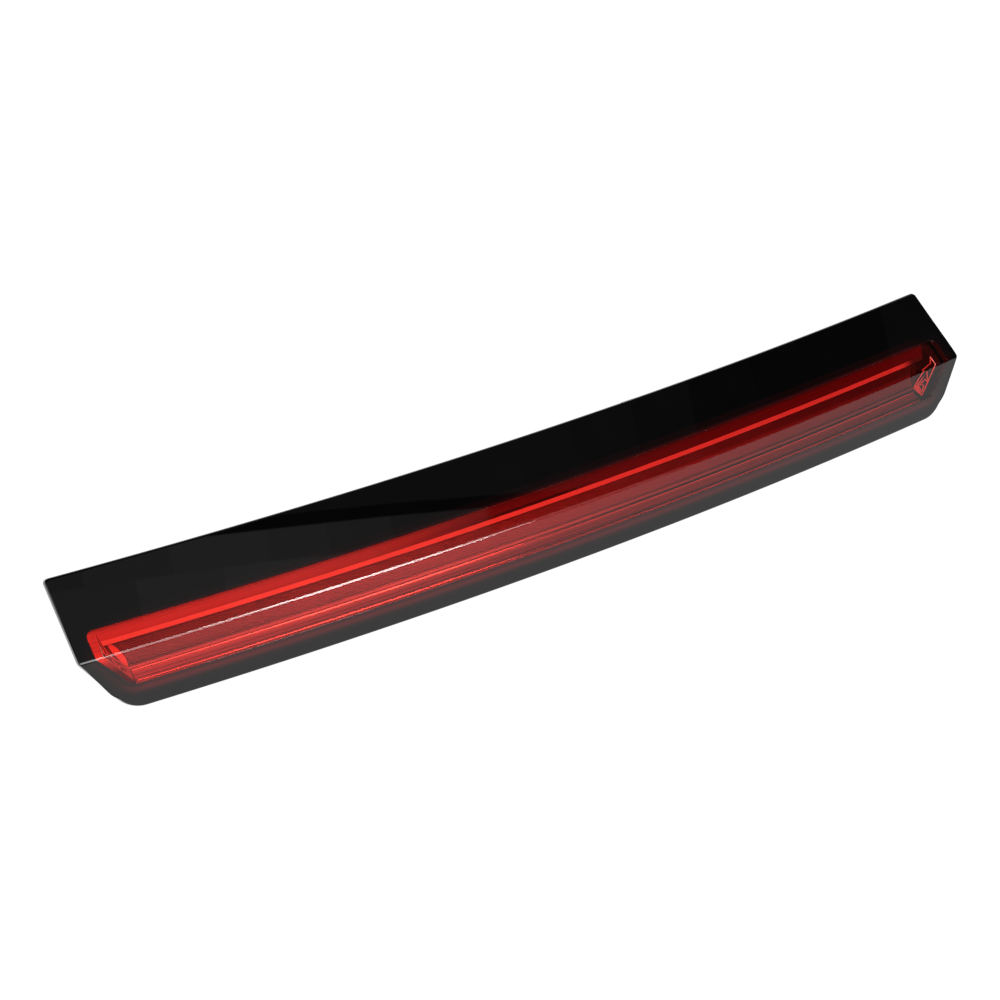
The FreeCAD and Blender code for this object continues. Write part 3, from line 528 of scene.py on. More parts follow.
def add_rod(shape, start, end, radius):
    """A thin four-sided rod between two points."""
    along = (end - start).normalized()
    first = along.orthogonal().normalized() * radius * MM
    second = along.cross(first)
    loops = [[end_point + first, end_point + second, end_point - first, end_point - second]
             for end_point in (start, end)]
    rows = shape.skin(loops)
    shape.cap(list(reversed(rows[0])))
    shape.cap(rows[1])


def add_bead(shape, point, radius):
    """A round bead moulded along the tray, near a section point."""
    turns = [2 * math.pi * k / BEAD_SIDES for k in range(BEAD_SIDES)]
    forward, up = point[0] + BEAD_SHIFT[0], point[1] + BEAD_SHIFT[1]
    shape.group = BEAD
    shape.skin([[place(x, forward + radius * math.cos(a), up + radius * math.sin(a)) for a in turns]
                for x in columns(tray_end(point) - BEAD_END)])


def add_end_frame(shape, side):
    """Outlined, zig-zag ribs that catch the light on an end wall, helped by a painted glint in their colour,
    with a dark patch and a patch of painted glow.
    """
    def on_wall(point, off):
        return place(side * (tray_end(point) - off), *point)

    shape.group = DARK
    shape.cap(shape.add([on_wall(p, WINDOW_OFF) for p in END_WINDOW]))
    # painted glow: a patch in the ribs' bright colour on the end wall
    shape.group = RIB
    shape.cap(shape.add([on_wall(p, PAINTED_GLOW_OFF) for p in END_PAINTED_GLOW]))
    for line in (END_FRAME, END_ZIGZAG):
        points = [on_wall(p, RIB_OFF) for p in line]
        for a, b in zip(points, points[1:]):
            add_rod(shape, a, b, END_RIB)


def tray(materials):
    """Open tray: rim, sloping shelf with a lip bright with painted highlight, stepped lower wall and a floor
    with a long slot.
    """
    apex = fold(RIM_DEPTH)
    floor_middle = on_floor(FLOOR_WIDTH / 2)
    out_high = outward(MOUTH_HIGH, TOP_DIR, HIGH_REACH)
    out_low = outward(MOUTH_LOW, REAR_DIR, LOW_REACH)
    shelf = [between(MOUTH_HIGH, SHELF_FOOT, share) for share in SHELF_SHARES + (LIP_SHARE,)]
    wall = [between(apex, WALL_MIDDLE, share) for share in WALL_SHARES]
    lower = [lowered(between(MOUTH_LOW, STEP_LOW, share), deep) for share, deep in LOWER_STEPS]
    slot = (on_floor(FLOOR_WIDTH - FLOOR_LIP), floor_middle, on_floor(FLOOR_LIP), SLOT_SETBACK)
    rings = [(tray_ring(out_high, apex, out_low, -RIM_REACH), "rim"),
             (tray_ring(MOUTH_HIGH, apex, MOUTH_LOW), "rim")]
    kinds = ("wall", "groove", "wall", "groove", "gap", "edge")
    setbacks = (0.4,) + (RING_SETBACK,) * (len(kinds) - 1)
    rings += [(tray_ring(*points, setback), kind)
              for *points, setback, kind in zip(shelf, wall, lower, setbacks, kinds)]
    rings += [
        (tray_ring(SHELF_FOOT, WALL_MIDDLE, STEP_LOW, RING_SETBACK), "riser"),
        (tray_ring(between(SHELF_FOOT, FLOOR_HIGH, LINE_SHARE), between(WALL_MIDDLE, floor_middle, 0.5),
                   between(STEP_LOW, FLOOR_LOW, RISER_SHARE), RING_SETBACK), "line"),
        (tray_ring(FLOOR_HIGH, floor_middle, FLOOR_LOW, RING_SETBACK), "lip"),
        (tray_ring(*slot, 0.0, SLOT_BULGE), "wall"),
        (tray_ring(*slot, 1.0, SLOT_BULGE), "wall"),
        (tray_ring(FLOOR_HIGH, floor_middle, FLOOR_LOW, 0.2, 1.0), "wall"),
        (tray_ring(SHELF_FOOT, WALL_MIDDLE, STEP_LOW, 0.2, 1.0), "wall"),
        (tray_ring(MOUTH_HIGH, apex, MOUTH_LOW, -1.0, 0.6), "wall"),
        (tray_ring(out_high, apex, out_low, -RIM_REACH, 0.6), "wall"),
    ]
    shape = Shape()
    loops = [shape.add(ring) for ring, _ in rings]
    count = len(loops[0])
    for k, (_, kind) in enumerate(rings):
        a, b = loops[k], loops[(k + 1) % len(loops)]
        for i in range(count):
            j = (i + 1) % count
            shape.group = TRAY_GROUPS[kind][side_of(i)]
            shape.face((a[i], a[j], b[j], b[i]))
    for point, radius in BEADS:
        add_bead(shape, point, radius)
    for side in (-1, 1):
        add_end_frame(shape, side)
    return shape.build("tray", "reflector_bright", materials, "trough_reflector")


FLUTES, FLUTE_DEPTH, FLUTE_HEIGHT = 14, 0.28, 0.05
STRIP_DEPTH, STRIP_GAP, STRIP_END_GAP = 2.9, 0.12, 0.08


def inner_strip(materials):
    """Diffusing strip that fills the tray's slot, its face finely fluted along its length."""
    shape = Shape()
    low, high = FLOOR_LIP + STRIP_GAP, FLOOR_WIDTH - FLOOR_LIP - STRIP_GAP
    steps = FLUTES * 4
    alongs = [low + (high - low) * k / steps for k in range(steps + 1)]
    face = [on_floor(along, FLUTE_DEPTH + FLUTE_HEIGHT * math.cos(math.pi * k / 2))
            for k, along in enumerate(alongs)]
    outline = face + [on_floor(high, STRIP_DEPTH), on_floor(low, STRIP_DEPTH)]
    alongs += [high, low]
    shares = [min(max((FLOOR_WIDTH - FLOOR_LIP - a) / (FLOOR_WIDTH - 2 * FLOOR_LIP), 0.0), 1.0)
              for a in alongs]
    halves = [tray_end(p) - SLOT_SETBACK - STRIP_END_GAP - SLOT_BULGE * math.sin(math.pi * share)
              for p, share in zip(outline, shares)]
    rows = shape.skin([[place(x, *p) for x in columns(half)] for p, half in zip(outline, halves)],
                      closed=False, ring=True)
    for side in (0, COLUMNS):
        shape.cap([row[side] for row in rows])
    return shape.build("inner_strip", "inner_lens_red", materials, "inner_lens")


# ---- Studs, gasket and other pieces on the back --------------------------------------------------

# Stud sizes, in metres
PITCH, THREAD_RADIUS, THREAD_DEPTH, THREAD_STEPS = 0.001, 0.00298, 0.00052, 8
STUD_SIDES, STUD_CHAMFER, HEAD_THICKNESS = 36, 0.0003, 0.003
COLLAR_RADIUS, NECK_RADIUS = 0.0036, 0.0027
THREAD_START, THREAD_END, TIP_RADII = 0.0006, 0.0008, (0.0025, 0.0020)


def stud(name, materials):
    """Headed stud with an M6 thread, standing for one CAD stud."""
    low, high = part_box(name)
    cx, cz = (low[0] + high[0]) / 2, (low[2] + high[2]) / 2
    head_radius = (high[0] - low[0]) / 2
    shoulder = low[1] + HEAD_THICKNESS
    start, end = THREAD_START, high[1] - THREAD_END

    def ring(y, radius, groove=0.0):
        points = []
        for i in range(STUD_SIDES):
            a = 2 * math.pi * i / STUD_SIDES
            phase = (y / PITCH + i / STUD_SIDES) % 1.0
            r = radius - groove * abs(2 * phase - 1)
            points.append(Vector((cx + r * math.cos(a), y, cz + r * math.sin(a))))
        return points

    shape = Shape()
    loops = [ring(low[1], head_radius - STUD_CHAMFER), ring(low[1] + STUD_CHAMFER, head_radius),
             ring(shoulder - STUD_CHAMFER, head_radius), ring(shoulder, head_radius - STUD_CHAMFER),
             ring(shoulder, COLLAR_RADIUS), ring(-0.0002, COLLAR_RADIUS), ring(0.0, COLLAR_RADIUS - 0.0002),
             ring(0.0, NECK_RADIUS)]
    steps = int((end - start) / PITCH * THREAD_STEPS)
    loops += [ring(start + (end - start) * k / steps, THREAD_RADIUS, THREAD_DEPTH) for k in range(steps + 1)]
    loops += [ring(end + 0.0002, TIP_RADII[0]), ring(high[1], TIP_RADII[1])]
    rows = shape.skin(loops)
    shape.cap(list(reversed(rows[0])))
    shape.cap(rows[-1])
    return shape.build(name + "_threaded", "screw_steel", materials, name)


GASKET_BACK, GASKET_THICKNESS, GASKET_WIDTH, GASKET_ROUND = 42.0, 5.0, 3.5, 0.9


def gasket(materials):
    """Foam ring on the housing's back, with rounded edges."""
    def ring(inset, forward):
        return wall_loop(lambda up: forward, -0.5 - inset, 5.0 + inset, 1.0)

    def rounded(a):
        return GASKET_ROUND * (1 - math.cos(a)), top - GASKET_ROUND * (1 - math.sin(a))

    seat, top = GASKET_BACK + 0.02, GASKET_BACK + GASKET_THICKNESS
    outer, inner = [rounded(a) for a in ARC], [rounded(a) for a in reversed(ARC)]
    loops = [ring(0, seat)] + [ring(inset, forward) for inset, forward in outer]
    loops += [ring(GASKET_WIDTH - inset, forward) for inset, forward in inner] + [ring(GASKET_WIDTH, seat)]
    shape = Shape()
    shape.skin(loops, ring=True)
    shape.build("gasket", "foam_black", materials, "mounting_gasket")


# The edge seals' sizes, and the stretch of each face that they cover
SEAL_THICKNESS, SEAL_HALF, SEAL_ROUND = 2.0, 205.0, 0.7
UPPER_SEAL, LOWER_SEAL = (31.5, 37.0), (22.2, 24.6)
SEAL_ENDS = ((SEAL_HALF, 0.45), (SEAL_HALF - 0.2, 0.2), (SEAL_HALF - 0.7, 0.02))    # x, how far drawn in


def edge_foam(name, along, inward, reach, materials):
    """Soft foam strip stuck under the cap's overhang, its free corners rounded and its ends tapered."""
    def section(inset):
        low, high, deep = reach[0] + inset, reach[1] - inset, SHELL + SEAL_THICKNESS - inset
        r = SEAL_ROUND
        points = [(low, SHELL), (high, SHELL)]
        points += [(high - r * (1 - math.cos(a)), deep - r * (1 - math.sin(a))) for a in ARC]
        points += [(low + r * (1 - math.cos(a)), deep - r * (1 - math.sin(a))) for a in reversed(ARC)]
        return [(along[0] * s + inward[0] * d, along[1] * s + inward[1] * d) for s, d in points]

    shape = Shape()
    stations = [(-x, inset) for x, inset in SEAL_ENDS]
    stations += [(x, 0.02 + 0.05 * (1 + math.sin(x * 0.31))) for x in columns(SEAL_HALF - 3.0)]
    stations += list(reversed(SEAL_ENDS))
    rows = shape.skin([[place(x, *p) for p in section(inset)] for x, inset in stations])
    shape.cap(list(reversed(rows[0])))
    shape.cap(rows[-1])
    shape.build(name + "_foam", "foam_black", materials, name)


# ---- Materials -----------------------------------------------------------------------------------


def new_material(name):
    material = bpy.data.materials.new(name)
    material.use_nodes = True
    tree = material.node_tree
    return material, tree, tree.nodes["Principled BSDF"]


def coordinates(tree):
    return tree.nodes.new("ShaderNodeTexCoord").outputs["Object"]


def noise(tree, scale, detail=3.0, vector=None):
    texture = tree.nodes.new("ShaderNodeTexNoise")
    texture.inputs["Scale"].default_value = scale
    texture.inputs["Detail"].default_value = detail
    tree.links.new(coordinates(tree) if vector is None else vector, texture.inputs["Vector"])
    return texture.outputs["Fac"]


def ramp(tree, source, stops):
    """A colour ramp from (position, colour) stops."""
    node = tree.nodes.new("ShaderNodeValToRGB")
    elements = node.color_ramp.elements
    while len(elements) < len(stops):
        elements.new(0.5)
    for element, (position, colour) in zip(elements, stops):
        element.position = position
        element.color = (*colour, 1.0)
    tree.links.new(source, node.inputs["Fac"])
    return node.outputs["Color"]


def spread(tree, source, low, high):
    """0 to 1 turned into low to high."""
    node = tree.nodes.new("ShaderNodeMapRange")
    node.inputs["To Min"].default_value = low
    node.inputs["To Max"].default_value = high
    tree.links.new(source, node.inputs["Value"])
    return node.outputs["Result"]


def between_ends(tree, source, low, high):
    """Low to high turned into 0 to 1."""
    node = tree.nodes.new("ShaderNodeMapRange")
    node.inputs["From Min"].default_value = low
    node.inputs["From Max"].default_value = high
    tree.links.new(source, node.inputs["Value"])
    return node.outputs["Result"]


def bump(tree, shader, height, strength, distance):
    node = tree.nodes.new("ShaderNodeBump")
    node.inputs["Strength"].default_value = strength
    node.inputs["Distance"].default_value = distance
    tree.links.new(height, node.inputs["Height"])
    tree.links.new(node.outputs["Normal"], shader.inputs["Normal"])


def tinted(name, dark, light, roughness, scale, grain, grain_scale, metallic=0.0):
    """A moulded or metal surface: mottled colour, uneven roughness and, unless 0, a grain."""
    material, tree, shader = new_material(name)
    mottle = noise(tree, scale)
    tree.links.new(ramp(tree, mottle, [(0.3, dark), (0.7, light)]), shader.inputs["Base Color"])
    tree.links.new(spread(tree, noise(tree, scale * 3.1), *roughness), shader.inputs["Roughness"])
    shader.inputs["Metallic"].default_value = metallic
    shader.inputs["IOR"].default_value = PLASTIC_IOR
    if grain:
        bump(tree, shader, noise(tree, grain_scale, 5.0), grain, 0.0002)
    return material


PLASTIC_IOR = 1.5
BLACK_LOW, BLACK_HIGH = (0.0003, 0.0003, 0.0003), (0.0006, 0.0006, 0.0007)
# colour of the painted glow near the window
PAINTED_GLOW_COLOUR = (0.070, 0.0035, 0.0045)


def bezel_gloss():
    """Polished black; a dark red glow is painted into its colour close to the window, where the window's
    light would tint it.
    """
    material, tree, shader = new_material("bezel_gloss")
    mark = tree.nodes.new("ShaderNodeAttribute")
    mark.attribute_name = "mark"
    painted_glow = mark.outputs["Fac"]
    base = ramp(tree, noise(tree, 60.0), [(0.3, BLACK_LOW), (0.7, BLACK_HIGH)])
    # painted glow: the mark attribute mixes dark red into the black base colour
    mix = tree.nodes.new("ShaderNodeMix")
    mix.data_type = "RGBA"
    tree.links.new(painted_glow, mix.inputs["Factor"])
    tree.links.new(base, mix.inputs[6])
    mix.inputs[7].default_value = (*PAINTED_GLOW_COLOUR, 1)
    tree.links.new(mix.outputs[2], shader.inputs["Base Color"])
    tree.links.new(spread(tree, noise(tree, 90.0, 4.0), 0.008, 0.022), shader.inputs["Roughness"])
    shader.inputs["IOR"].default_value = PLASTIC_IOR
    bump(tree, shader, noise(tree, 35.0, 1.0), 0.02, 0.0002)
    return material


LENS_TINT = (0.95, 0.42, 0.38)


def lens_plastic(name, gloss):
    """Clear red plastic: straight-through tint and, where gloss is true, a Fresnel gloss."""
    material, tree, shader = new_material(name)
    out = tree.nodes["Material Output"]
    tree.nodes.remove(shader)
    clear = tree.nodes.new("ShaderNodeBsdfTransparent")
    deeper = tuple(c * 0.985 for c in LENS_TINT)
    tint = ramp(tree, noise(tree, 25.0, 2.0), [(0.2, deeper), (0.8, LENS_TINT)])
    tree.links.new(tint, clear.inputs["Color"])
    if not gloss:
        tree.links.new(clear.outputs[0], out.inputs["Surface"])
        return material
    shine = tree.nodes.new("ShaderNodeBsdfGlossy")
    tree.links.new(spread(tree, noise(tree, 80.0, 3.0), 0.012, 0.035), shine.inputs["Roughness"])
    fresnel = tree.nodes.new("ShaderNodeFresnel")
    fresnel.inputs["IOR"].default_value = PLASTIC_IOR
    mix = tree.nodes.new("ShaderNodeMixShader")
    tree.links.new(fresnel.outputs[0], mix.inputs["Fac"])
    tree.links.new(clear.outputs[0], mix.inputs[1])
    tree.links.new(shine.outputs[0], mix.inputs[2])
    tree.links.new(mix.outputs[0], out.inputs["Surface"])
    return material


def lengthwise(tree, slope=0.0, low=-0.22, high=0.22):
    """0 at the left end to 1 at the right; slope slants the lines of equal value."""
    dot = tree.nodes.new("ShaderNodeVectorMath")
    dot.operation = "DOT_PRODUCT"
    dot.inputs[1].default_value = (1.0, 0.0, slope)
    tree.links.new(coordinates(tree), dot.inputs[0])
    return between_ends(tree, dot.outputs["Value"], low, high)


def draw_lines(tree):
    """Fine lines that run along the lamp and follow its bow."""
    parts = tree.nodes.new("ShaderNodeSeparateXYZ")
    square = tree.nodes.new("ShaderNodeMath")
    square.operation = "MULTIPLY"
    straight = tree.nodes.new("ShaderNodeMath")
    straight.operation = "MULTIPLY_ADD"
    straight.inputs[1].default_value = -0.5 / (BOW_RADIUS * MM)
    joined = tree.nodes.new("ShaderNodeCombineXYZ")
    mapping = tree.nodes.new("ShaderNodeMapping")
    mapping.inputs["Scale"].default_value = (4, 1400, 1400)
    links = tree.links
    links.new(coordinates(tree), parts.inputs[0])
    links.new(parts.outputs["X"], square.inputs[0])
    links.new(parts.outputs["X"], square.inputs[1])
    links.new(square.outputs[0], straight.inputs[0])
    links.new(parts.outputs["Y"], straight.inputs[2])
    links.new(parts.outputs["X"], joined.inputs[0])
    links.new(straight.outputs[0], joined.inputs[1])
    links.new(parts.outputs["Z"], joined.inputs[2])
    links.new(joined.outputs[0], mapping.inputs["Vector"])
    return noise(tree, 1.0, 4.0, mapping.outputs["Vector"])


def multiplied(tree, first, second):
    mix = tree.nodes.new("ShaderNodeMix")
    mix.data_type, mix.blend_type = "RGBA", "MULTIPLY"
    mix.inputs["Factor"].default_value = 1.0
    tree.links.new(first, mix.inputs[6])
    tree.links.new(second, mix.inputs[7])
    return mix.outputs[2]


def painted_shade_by_height(tree, low, high, bottom, top):
    """A painted shade: a colour that goes from bottom to top between two heights."""
    parts = tree.nodes.new("ShaderNodeSeparateXYZ")
    tree.links.new(coordinates(tree), parts.inputs[0])
    return ramp(tree, between_ends(tree, parts.outputs["Z"], low, high), [(0.0, bottom), (1.0, top)])


def reflector(name, stops, roughness, uneven=0.15, lift=0.12, metallic=0.0, specular=0.5, shade=None,
              **slant):
    """Plastic with fine lines along its length; stops paint light into its colour along the lamp, and a
    painted shade, if given, darkens it by height.
    """
    material, tree, shader = new_material(name)
    lines = draw_lines(tree)
    grey = ramp(tree, lines, [(0.3, (1 - uneven,) * 3), (0.7, (1 + uneven,) * 3)])
    colour = multiplied(tree, ramp(tree, lengthwise(tree, **slant), stops), grey)
    if shade:
        colour = multiplied(tree, colour, painted_shade_by_height(tree, *shade))
    tree.links.new(colour, shader.inputs["Base Color"])
    tree.links.new(spread(tree, noise(tree, 70.0), *roughness), shader.inputs["Roughness"])
    shader.inputs["Metallic"].default_value = metallic
    shader.inputs["Specular IOR Level"].default_value = specular
    bump(tree, shader, lines, lift, 0.0001)
    return material


def foam():
    """Closed-cell foam: dark, matt and finely pitted."""
    material, tree, shader = new_material("foam")
    cells = tree.nodes.new("ShaderNodeTexVoronoi")
    cells.inputs["Scale"].default_value = 1500.0
    tree.links.new(coordinates(tree), cells.inputs["Vector"])
    colour = ramp(tree, cells.outputs["Distance"], [(0.0, (0.02, 0.02, 0.022)), (0.7, (0.06, 0.06, 0.064))])
    tree.links.new(colour, shader.inputs["Base Color"])
    shader.inputs["Roughness"].default_value = 0.92
    bump(tree, shader, cells.outputs["Distance"], 0.6, 0.0003)
    return material


def board_material():
    """White solder mask over copper tracks."""
    material, tree, shader = new_material("board_mask")
    tracks = tree.nodes.new("ShaderNodeTexBrick")
    tracks.inputs["Scale"].default_value = 1.0
    tracks.inputs["Color1"].default_value = (0.72, 0.73, 0.72, 1)
    tracks.inputs["Color2"].default_value = (0.66, 0.68, 0.67, 1)
    tracks.inputs["Mortar"].default_value = (0.52, 0.55, 0.52, 1)
    tracks.inputs["Mortar Size"].default_value = 0.0004
    tracks.inputs["Brick Width"].default_value = 0.017
    tracks.inputs["Row Height"].default_value = 0.004
    tree.links.new(coordinates(tree), tracks.inputs["Vector"])
    tree.links.new(tracks.outputs["Color"], shader.inputs["Base Color"])
    tree.links.new(spread(tree, noise(tree, 120.0), 0.35, 0.5), shader.inputs["Roughness"])
    return material


# Stops are (place along the lamp from 0 at the left end to 1 at the right, colour). They paint light: most
# are bright toward the left end, where the key softbox would be mirrored, and dark toward the right.
# Painted reflection of the key softbox: the shelf is bright at the left end, fading along a slanted line to
# dark red
SHELF_PAINTED_REFLECTION_STOPS = [
    (0.0, (0.66, 0.34, 0.34)), (0.2, (0.46, 0.27, 0.28)), (0.335, (0.24, 0.14, 0.14)),
    (0.37, (0.13, 0.06, 0.07)), (0.41, (0.085, 0.012, 0.03)), (0.6, (0.085, 0.012, 0.022)),
    (1.0, (0.078, 0.01, 0.02))]
# Painted reflection on the shelf's foot: bright at the left end, then a painted dark band where the dark gap
# between ceiling panels would be mirrored, then dark red
GAP_PAINTED_REFLECTION_STOPS = [
    (0.0, (0.60, 0.30, 0.31)), (0.26, (0.33, 0.19, 0.19)), (0.38, (0.09, 0.04, 0.05)),
    (0.43, (0.012, 0.004, 0.01)), (0.50, (0.012, 0.004, 0.01)), (0.54, (0.08, 0.012, 0.022)),
    (1.0, (0.078, 0.01, 0.02))]
# Painted highlight along the shelf's lip and the window's lower edge: brightest at the left end, dark past
# its right end
EDGE_PAINTED_HIGHLIGHT_STOPS = [
    (0.0, (0.85, 0.75, 0.7)), (0.3, (0.62, 0.55, 0.5)), (0.5, (0.62, 0.5, 0.55)), (0.95, (0.52, 0.42, 0.48)),
    (0.965, (0.05, 0.05, 0.05))]
# Dark steps and grooves, with painted light making them a little lighter toward the left end
STEP_PAINTED_LIGHT_STOPS = [(0.0, (0.08, 0.04, 0.05)), (1.0, (0.03, 0.03, 0.03))]
# Painted light on the end frames: bright at the left end, dark at the right; a painted shade also darkens
# their lower part
FRAME_PAINTED_LIGHT_STOPS = [(0.0, (0.72, 0.45, 0.42)), (0.5, (0.12, 0.08, 0.08)), (1.0, (0.02, 0.02, 0.02))]
# Painted glint on the slot's end walls: bright at the left end, dark at the right
SLOT_END_PAINTED_GLINT_STOPS = [(0.0, (0.85, 0.52, 0.46)), (0.5, (0.12, 0.08, 0.08)), (1.0, (0.02, 0.02, 0.02))]
# Painted light on the lower wall: pale mauve at the left end, darkening toward the right
LOWER_WALL_PAINTED_LIGHT_STOPS = [
    (0.0, (0.70, 0.50, 0.66)), (0.31, (0.40, 0.36, 0.45)), (0.43, (0.28, 0.28, 0.32)),
    (0.73, (0.16, 0.17, 0.19)), (1.0, (0.11, 0.12, 0.14))]
# Painted highlight along the fine line: bright at the left end, dimmer toward the right
LINE_PAINTED_HIGHLIGHT_STOPS = [
    (0.0, (0.6, 0.8, 0.9)), (0.45, (0.45, 0.60, 0.65)), (0.6, (0.18, 0.25, 0.25)), (1.0, (0.10, 0.16, 0.16))]
# Painted glints on the end walls' ribs and glow patch: nearly white at the right end
RIB_PAINTED_GLINT_STOPS = [(0.0, (0.6, 0.5, 0.5)), (0.6, (0.8, 0.8, 0.8)), (1.0, (0.98, 0.98, 0.98))]
# Painted reflection on the metal beads: bright at the left end, dark from the middle on
BEAD_PAINTED_REFLECTION_STOPS = [
    (0.0, (0.95, 0.95, 0.9)), (0.36, (0.95, 0.95, 0.9)), (0.46, (0.35, 0.35, 0.35)),
    (0.6, (0.16, 0.16, 0.16)), (1.0, (0.09, 0.10, 0.10))]
# Painted light on the strip: darker toward the right end; a painted shade also darkens its upper part
STRIP_PAINTED_LIGHT_STOPS = [(0.0, (0.120, 0.09, 0.12)), (0.5, (0.125, 0.08, 0.125)), (1.0, (0.065, 0.03, 0.05))]

# Painted shade by height: lowest and highest height in metres, and the shade painted at each
FRAME_PAINTED_SHADE = (-0.003, 0.004, (0.17, 0.12, 0.16), (1.0, 1.0, 1.0))
STRIP_PAINTED_SHADE = (-0.0014, -0.0002, (1.0, 1.0, 1.0), (0.42, 0.30, 0.36))

SATIN, MATT = dict(lift=0.05, specular=0.1), dict(specular=0.1)

MATERIALS = {
    "gloss": bezel_gloss(),
    "lens": lens_plastic("lens_outside", True),
    "lens_inside": lens_plastic("lens_inside", False),
    "tray": reflector("tray_shelf", SHELF_PAINTED_REFLECTION_STOPS, (0.22, 0.3), slope=-7.0, low=-0.28, high=0.16, **SATIN),
    "tray_edge": reflector("tray_edge_painted_highlight", EDGE_PAINTED_HIGHLIGHT_STOPS, (0.25, 0.4), 0.06),
    "tray_dark": reflector("tray_step", STEP_PAINTED_LIGHT_STOPS, (0.2, 0.35)),
    "tray_frame": reflector("tray_frame", FRAME_PAINTED_LIGHT_STOPS, (0.4, 0.5), shade=FRAME_PAINTED_SHADE, **MATT),
    "tray_wall": reflector("tray_lower_wall", LOWER_WALL_PAINTED_LIGHT_STOPS, (0.25, 0.4), 0.3),
    "tray_line": reflector("tray_fine_line", LINE_PAINTED_HIGHLIGHT_STOPS, (0.25, 0.4)),
    "tray_rib": reflector("tray_end_rib_painted_glint", RIB_PAINTED_GLINT_STOPS, (0.25, 0.35)),
    "tray_bead": reflector("tray_bead", BEAD_PAINTED_REFLECTION_STOPS, (0.14, 0.2), metallic=1.0),
    "tray_slot_end_painted_glint": reflector("tray_slot_end_painted_glint", SLOT_END_PAINTED_GLINT_STOPS, (0.4, 0.5), **MATT),
    "tray_gap": reflector("tray_shelf_foot", GAP_PAINTED_REFLECTION_STOPS, (0.22, 0.3), **SATIN),
    "strip": reflector("strip_red", STRIP_PAINTED_LIGHT_STOPS, (0.3, 0.42), shade=STRIP_PAINTED_SHADE),
    "foam": foam(),
    "board": board_material(),
}

# Name, darkest and lightest colour, roughness, mottling scale, grain and its scale, metallic
TINTED = {
    "grid": ("grid_white", (0.72, 0.72, 0.70), (0.82, 0.82, 0.80), (0.3, 0.45), 80.0, 0.1, 900.0),
    "led": ("led_body", (0.75, 0.72, 0.55), (0.86, 0.84, 0.70), (0.2, 0.35), 400.0, 0.0, 0.0),
    "chip": ("component_black", (0.012, 0.012, 0.013), (0.022, 0.022, 0.024), (0.45, 0.6), 500.0, 0.2,
             4000.0),
    "tan": ("component_tan", (0.32, 0.22, 0.12), (0.42, 0.30, 0.18), (0.4, 0.55), 600.0, 0.1, 4000.0),
    "steel": ("screw_steel", (0.52, 0.52, 0.50), (0.70, 0.69, 0.66), (0.22, 0.38), 300.0, 0.05, 2500.0, 1.0),
    "housing": ("housing_black", (0.022, 0.022, 0.024), (0.036, 0.036, 0.038), (0.42, 0.58), 45.0, 0.35,
                1400.0),
    "socket": ("socket_black", (0.014, 0.014, 0.015), (0.022, 0.022, 0.023), (0.32, 0.45), 120.0, 0.2,
               2200.0),
    "seal": ("seal_orange", (0.55, 0.12, 0.02), (0.68, 0.17, 0.03), (0.5, 0.65), 200.0, 0.1, 1500.0),
    "tin": ("terminal_tin", (0.70, 0.70, 0.71), (0.82, 0.82, 0.83), (0.18, 0.32), 500.0, 0.03, 3000.0, 1.0),
    "membrane": ("membrane_white", (0.74, 0.74, 0.72), (0.82, 0.82, 0.80), (0.7, 0.85), 900.0, 0.3, 6000.0),
}
MATERIALS.update((kind, tinted(*look)) for kind, look in TINTED.items())

REPLACED = {"black_bezel", "outer_lens", "trough_reflector", "inner_lens", "stud_left", "stud_right",
            "mounting_gasket", "upper_edge_seal", "lower_edge_seal"}
NODE_FINISH = {
    "reflector_grid": "grid", "led_board": "board", "driver_chip": "chip", "protection_diode": "chip",
    "filter_capacitor": "tan", "board_screws": "steel", "rear_housing": "housing",
    "connector_socket": "socket", "connector_seal": "seal", "terminal_ground": "tin",
    "terminal_supply": "tin", "vent_membrane": "membrane", "vent_cover": "socket",
}
NODE_BEVEL = {"rear_housing": 0.3, "connector_socket": 0.25, "vent_cover": 0.2, "reflector_grid": 0.25,
              "connector_seal": 0.2}


def finish_cad_nodes():
    """Gives each carried-over CAD node its material, softened edges and even shading."""
    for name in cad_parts:
        if name in REPLACED:
            continue
        kind = NODE_FINISH.get(name) or ("led" if name.startswith("led_") else "chip")
        piece = bpy.data.objects[name]
        piece.data.materials.clear()
        piece.data.materials.append(MATERIALS[kind])
        weld = piece.modifiers.new("weld", "WELD")
        weld.merge_threshold = WELD
        finish_edges(piece, NODE_BEVEL.get(name, 0.0))


# ---- Stage, light and camera ---------------------------------------------------------------------


FLOOR_HALF, FLOOR_GAP = 60.0, 0.0002


def floor():
    """White ground just below the lamp; its far edge shows in views from low down."""
    level = CAD_BOX[0][2] - FLOOR_GAP
    mesh = bpy.data.meshes.new("floor")
    corners = [(FLOOR_HALF * x, FLOOR_HALF * y, level) for x, y in ((-1, -1), (1, -1), (1, 1), (-1, 1))]
    mesh.from_pydata(corners, [], [(0, 1, 2, 3)])
    material, tree, shader = new_material("floor_white")
    tree.links.new(ramp(tree, noise(tree, 3.0), [(0.3, (0.030, 0.030, 0.030)), (0.7, (0.034, 0.034, 0.034))]),
                   shader.inputs["Base Color"])
    shader.inputs["Roughness"].default_value = 0.9
    shader.inputs["Specular IOR Level"].default_value = 0.0
    shader.inputs["Emission Color"].default_value = (1, 1, 1, 1)
    shader.inputs["Emission Strength"].default_value = 1.0
    mesh.materials.append(material)
    piece = bpy.data.objects.new("floor", mesh)
    bpy.context.scene.collection.objects.link(piece)


def direction(azimuth, elevation):
    """A direction from the lamp; azimuth 0 is straight behind the vehicle, 90 is the lamp's right."""
    a, e = math.radians(azimuth), math.radians(elevation)
    return Vector((math.sin(a) * math.cos(e), -math.cos(a) * math.cos(e), math.sin(e)))


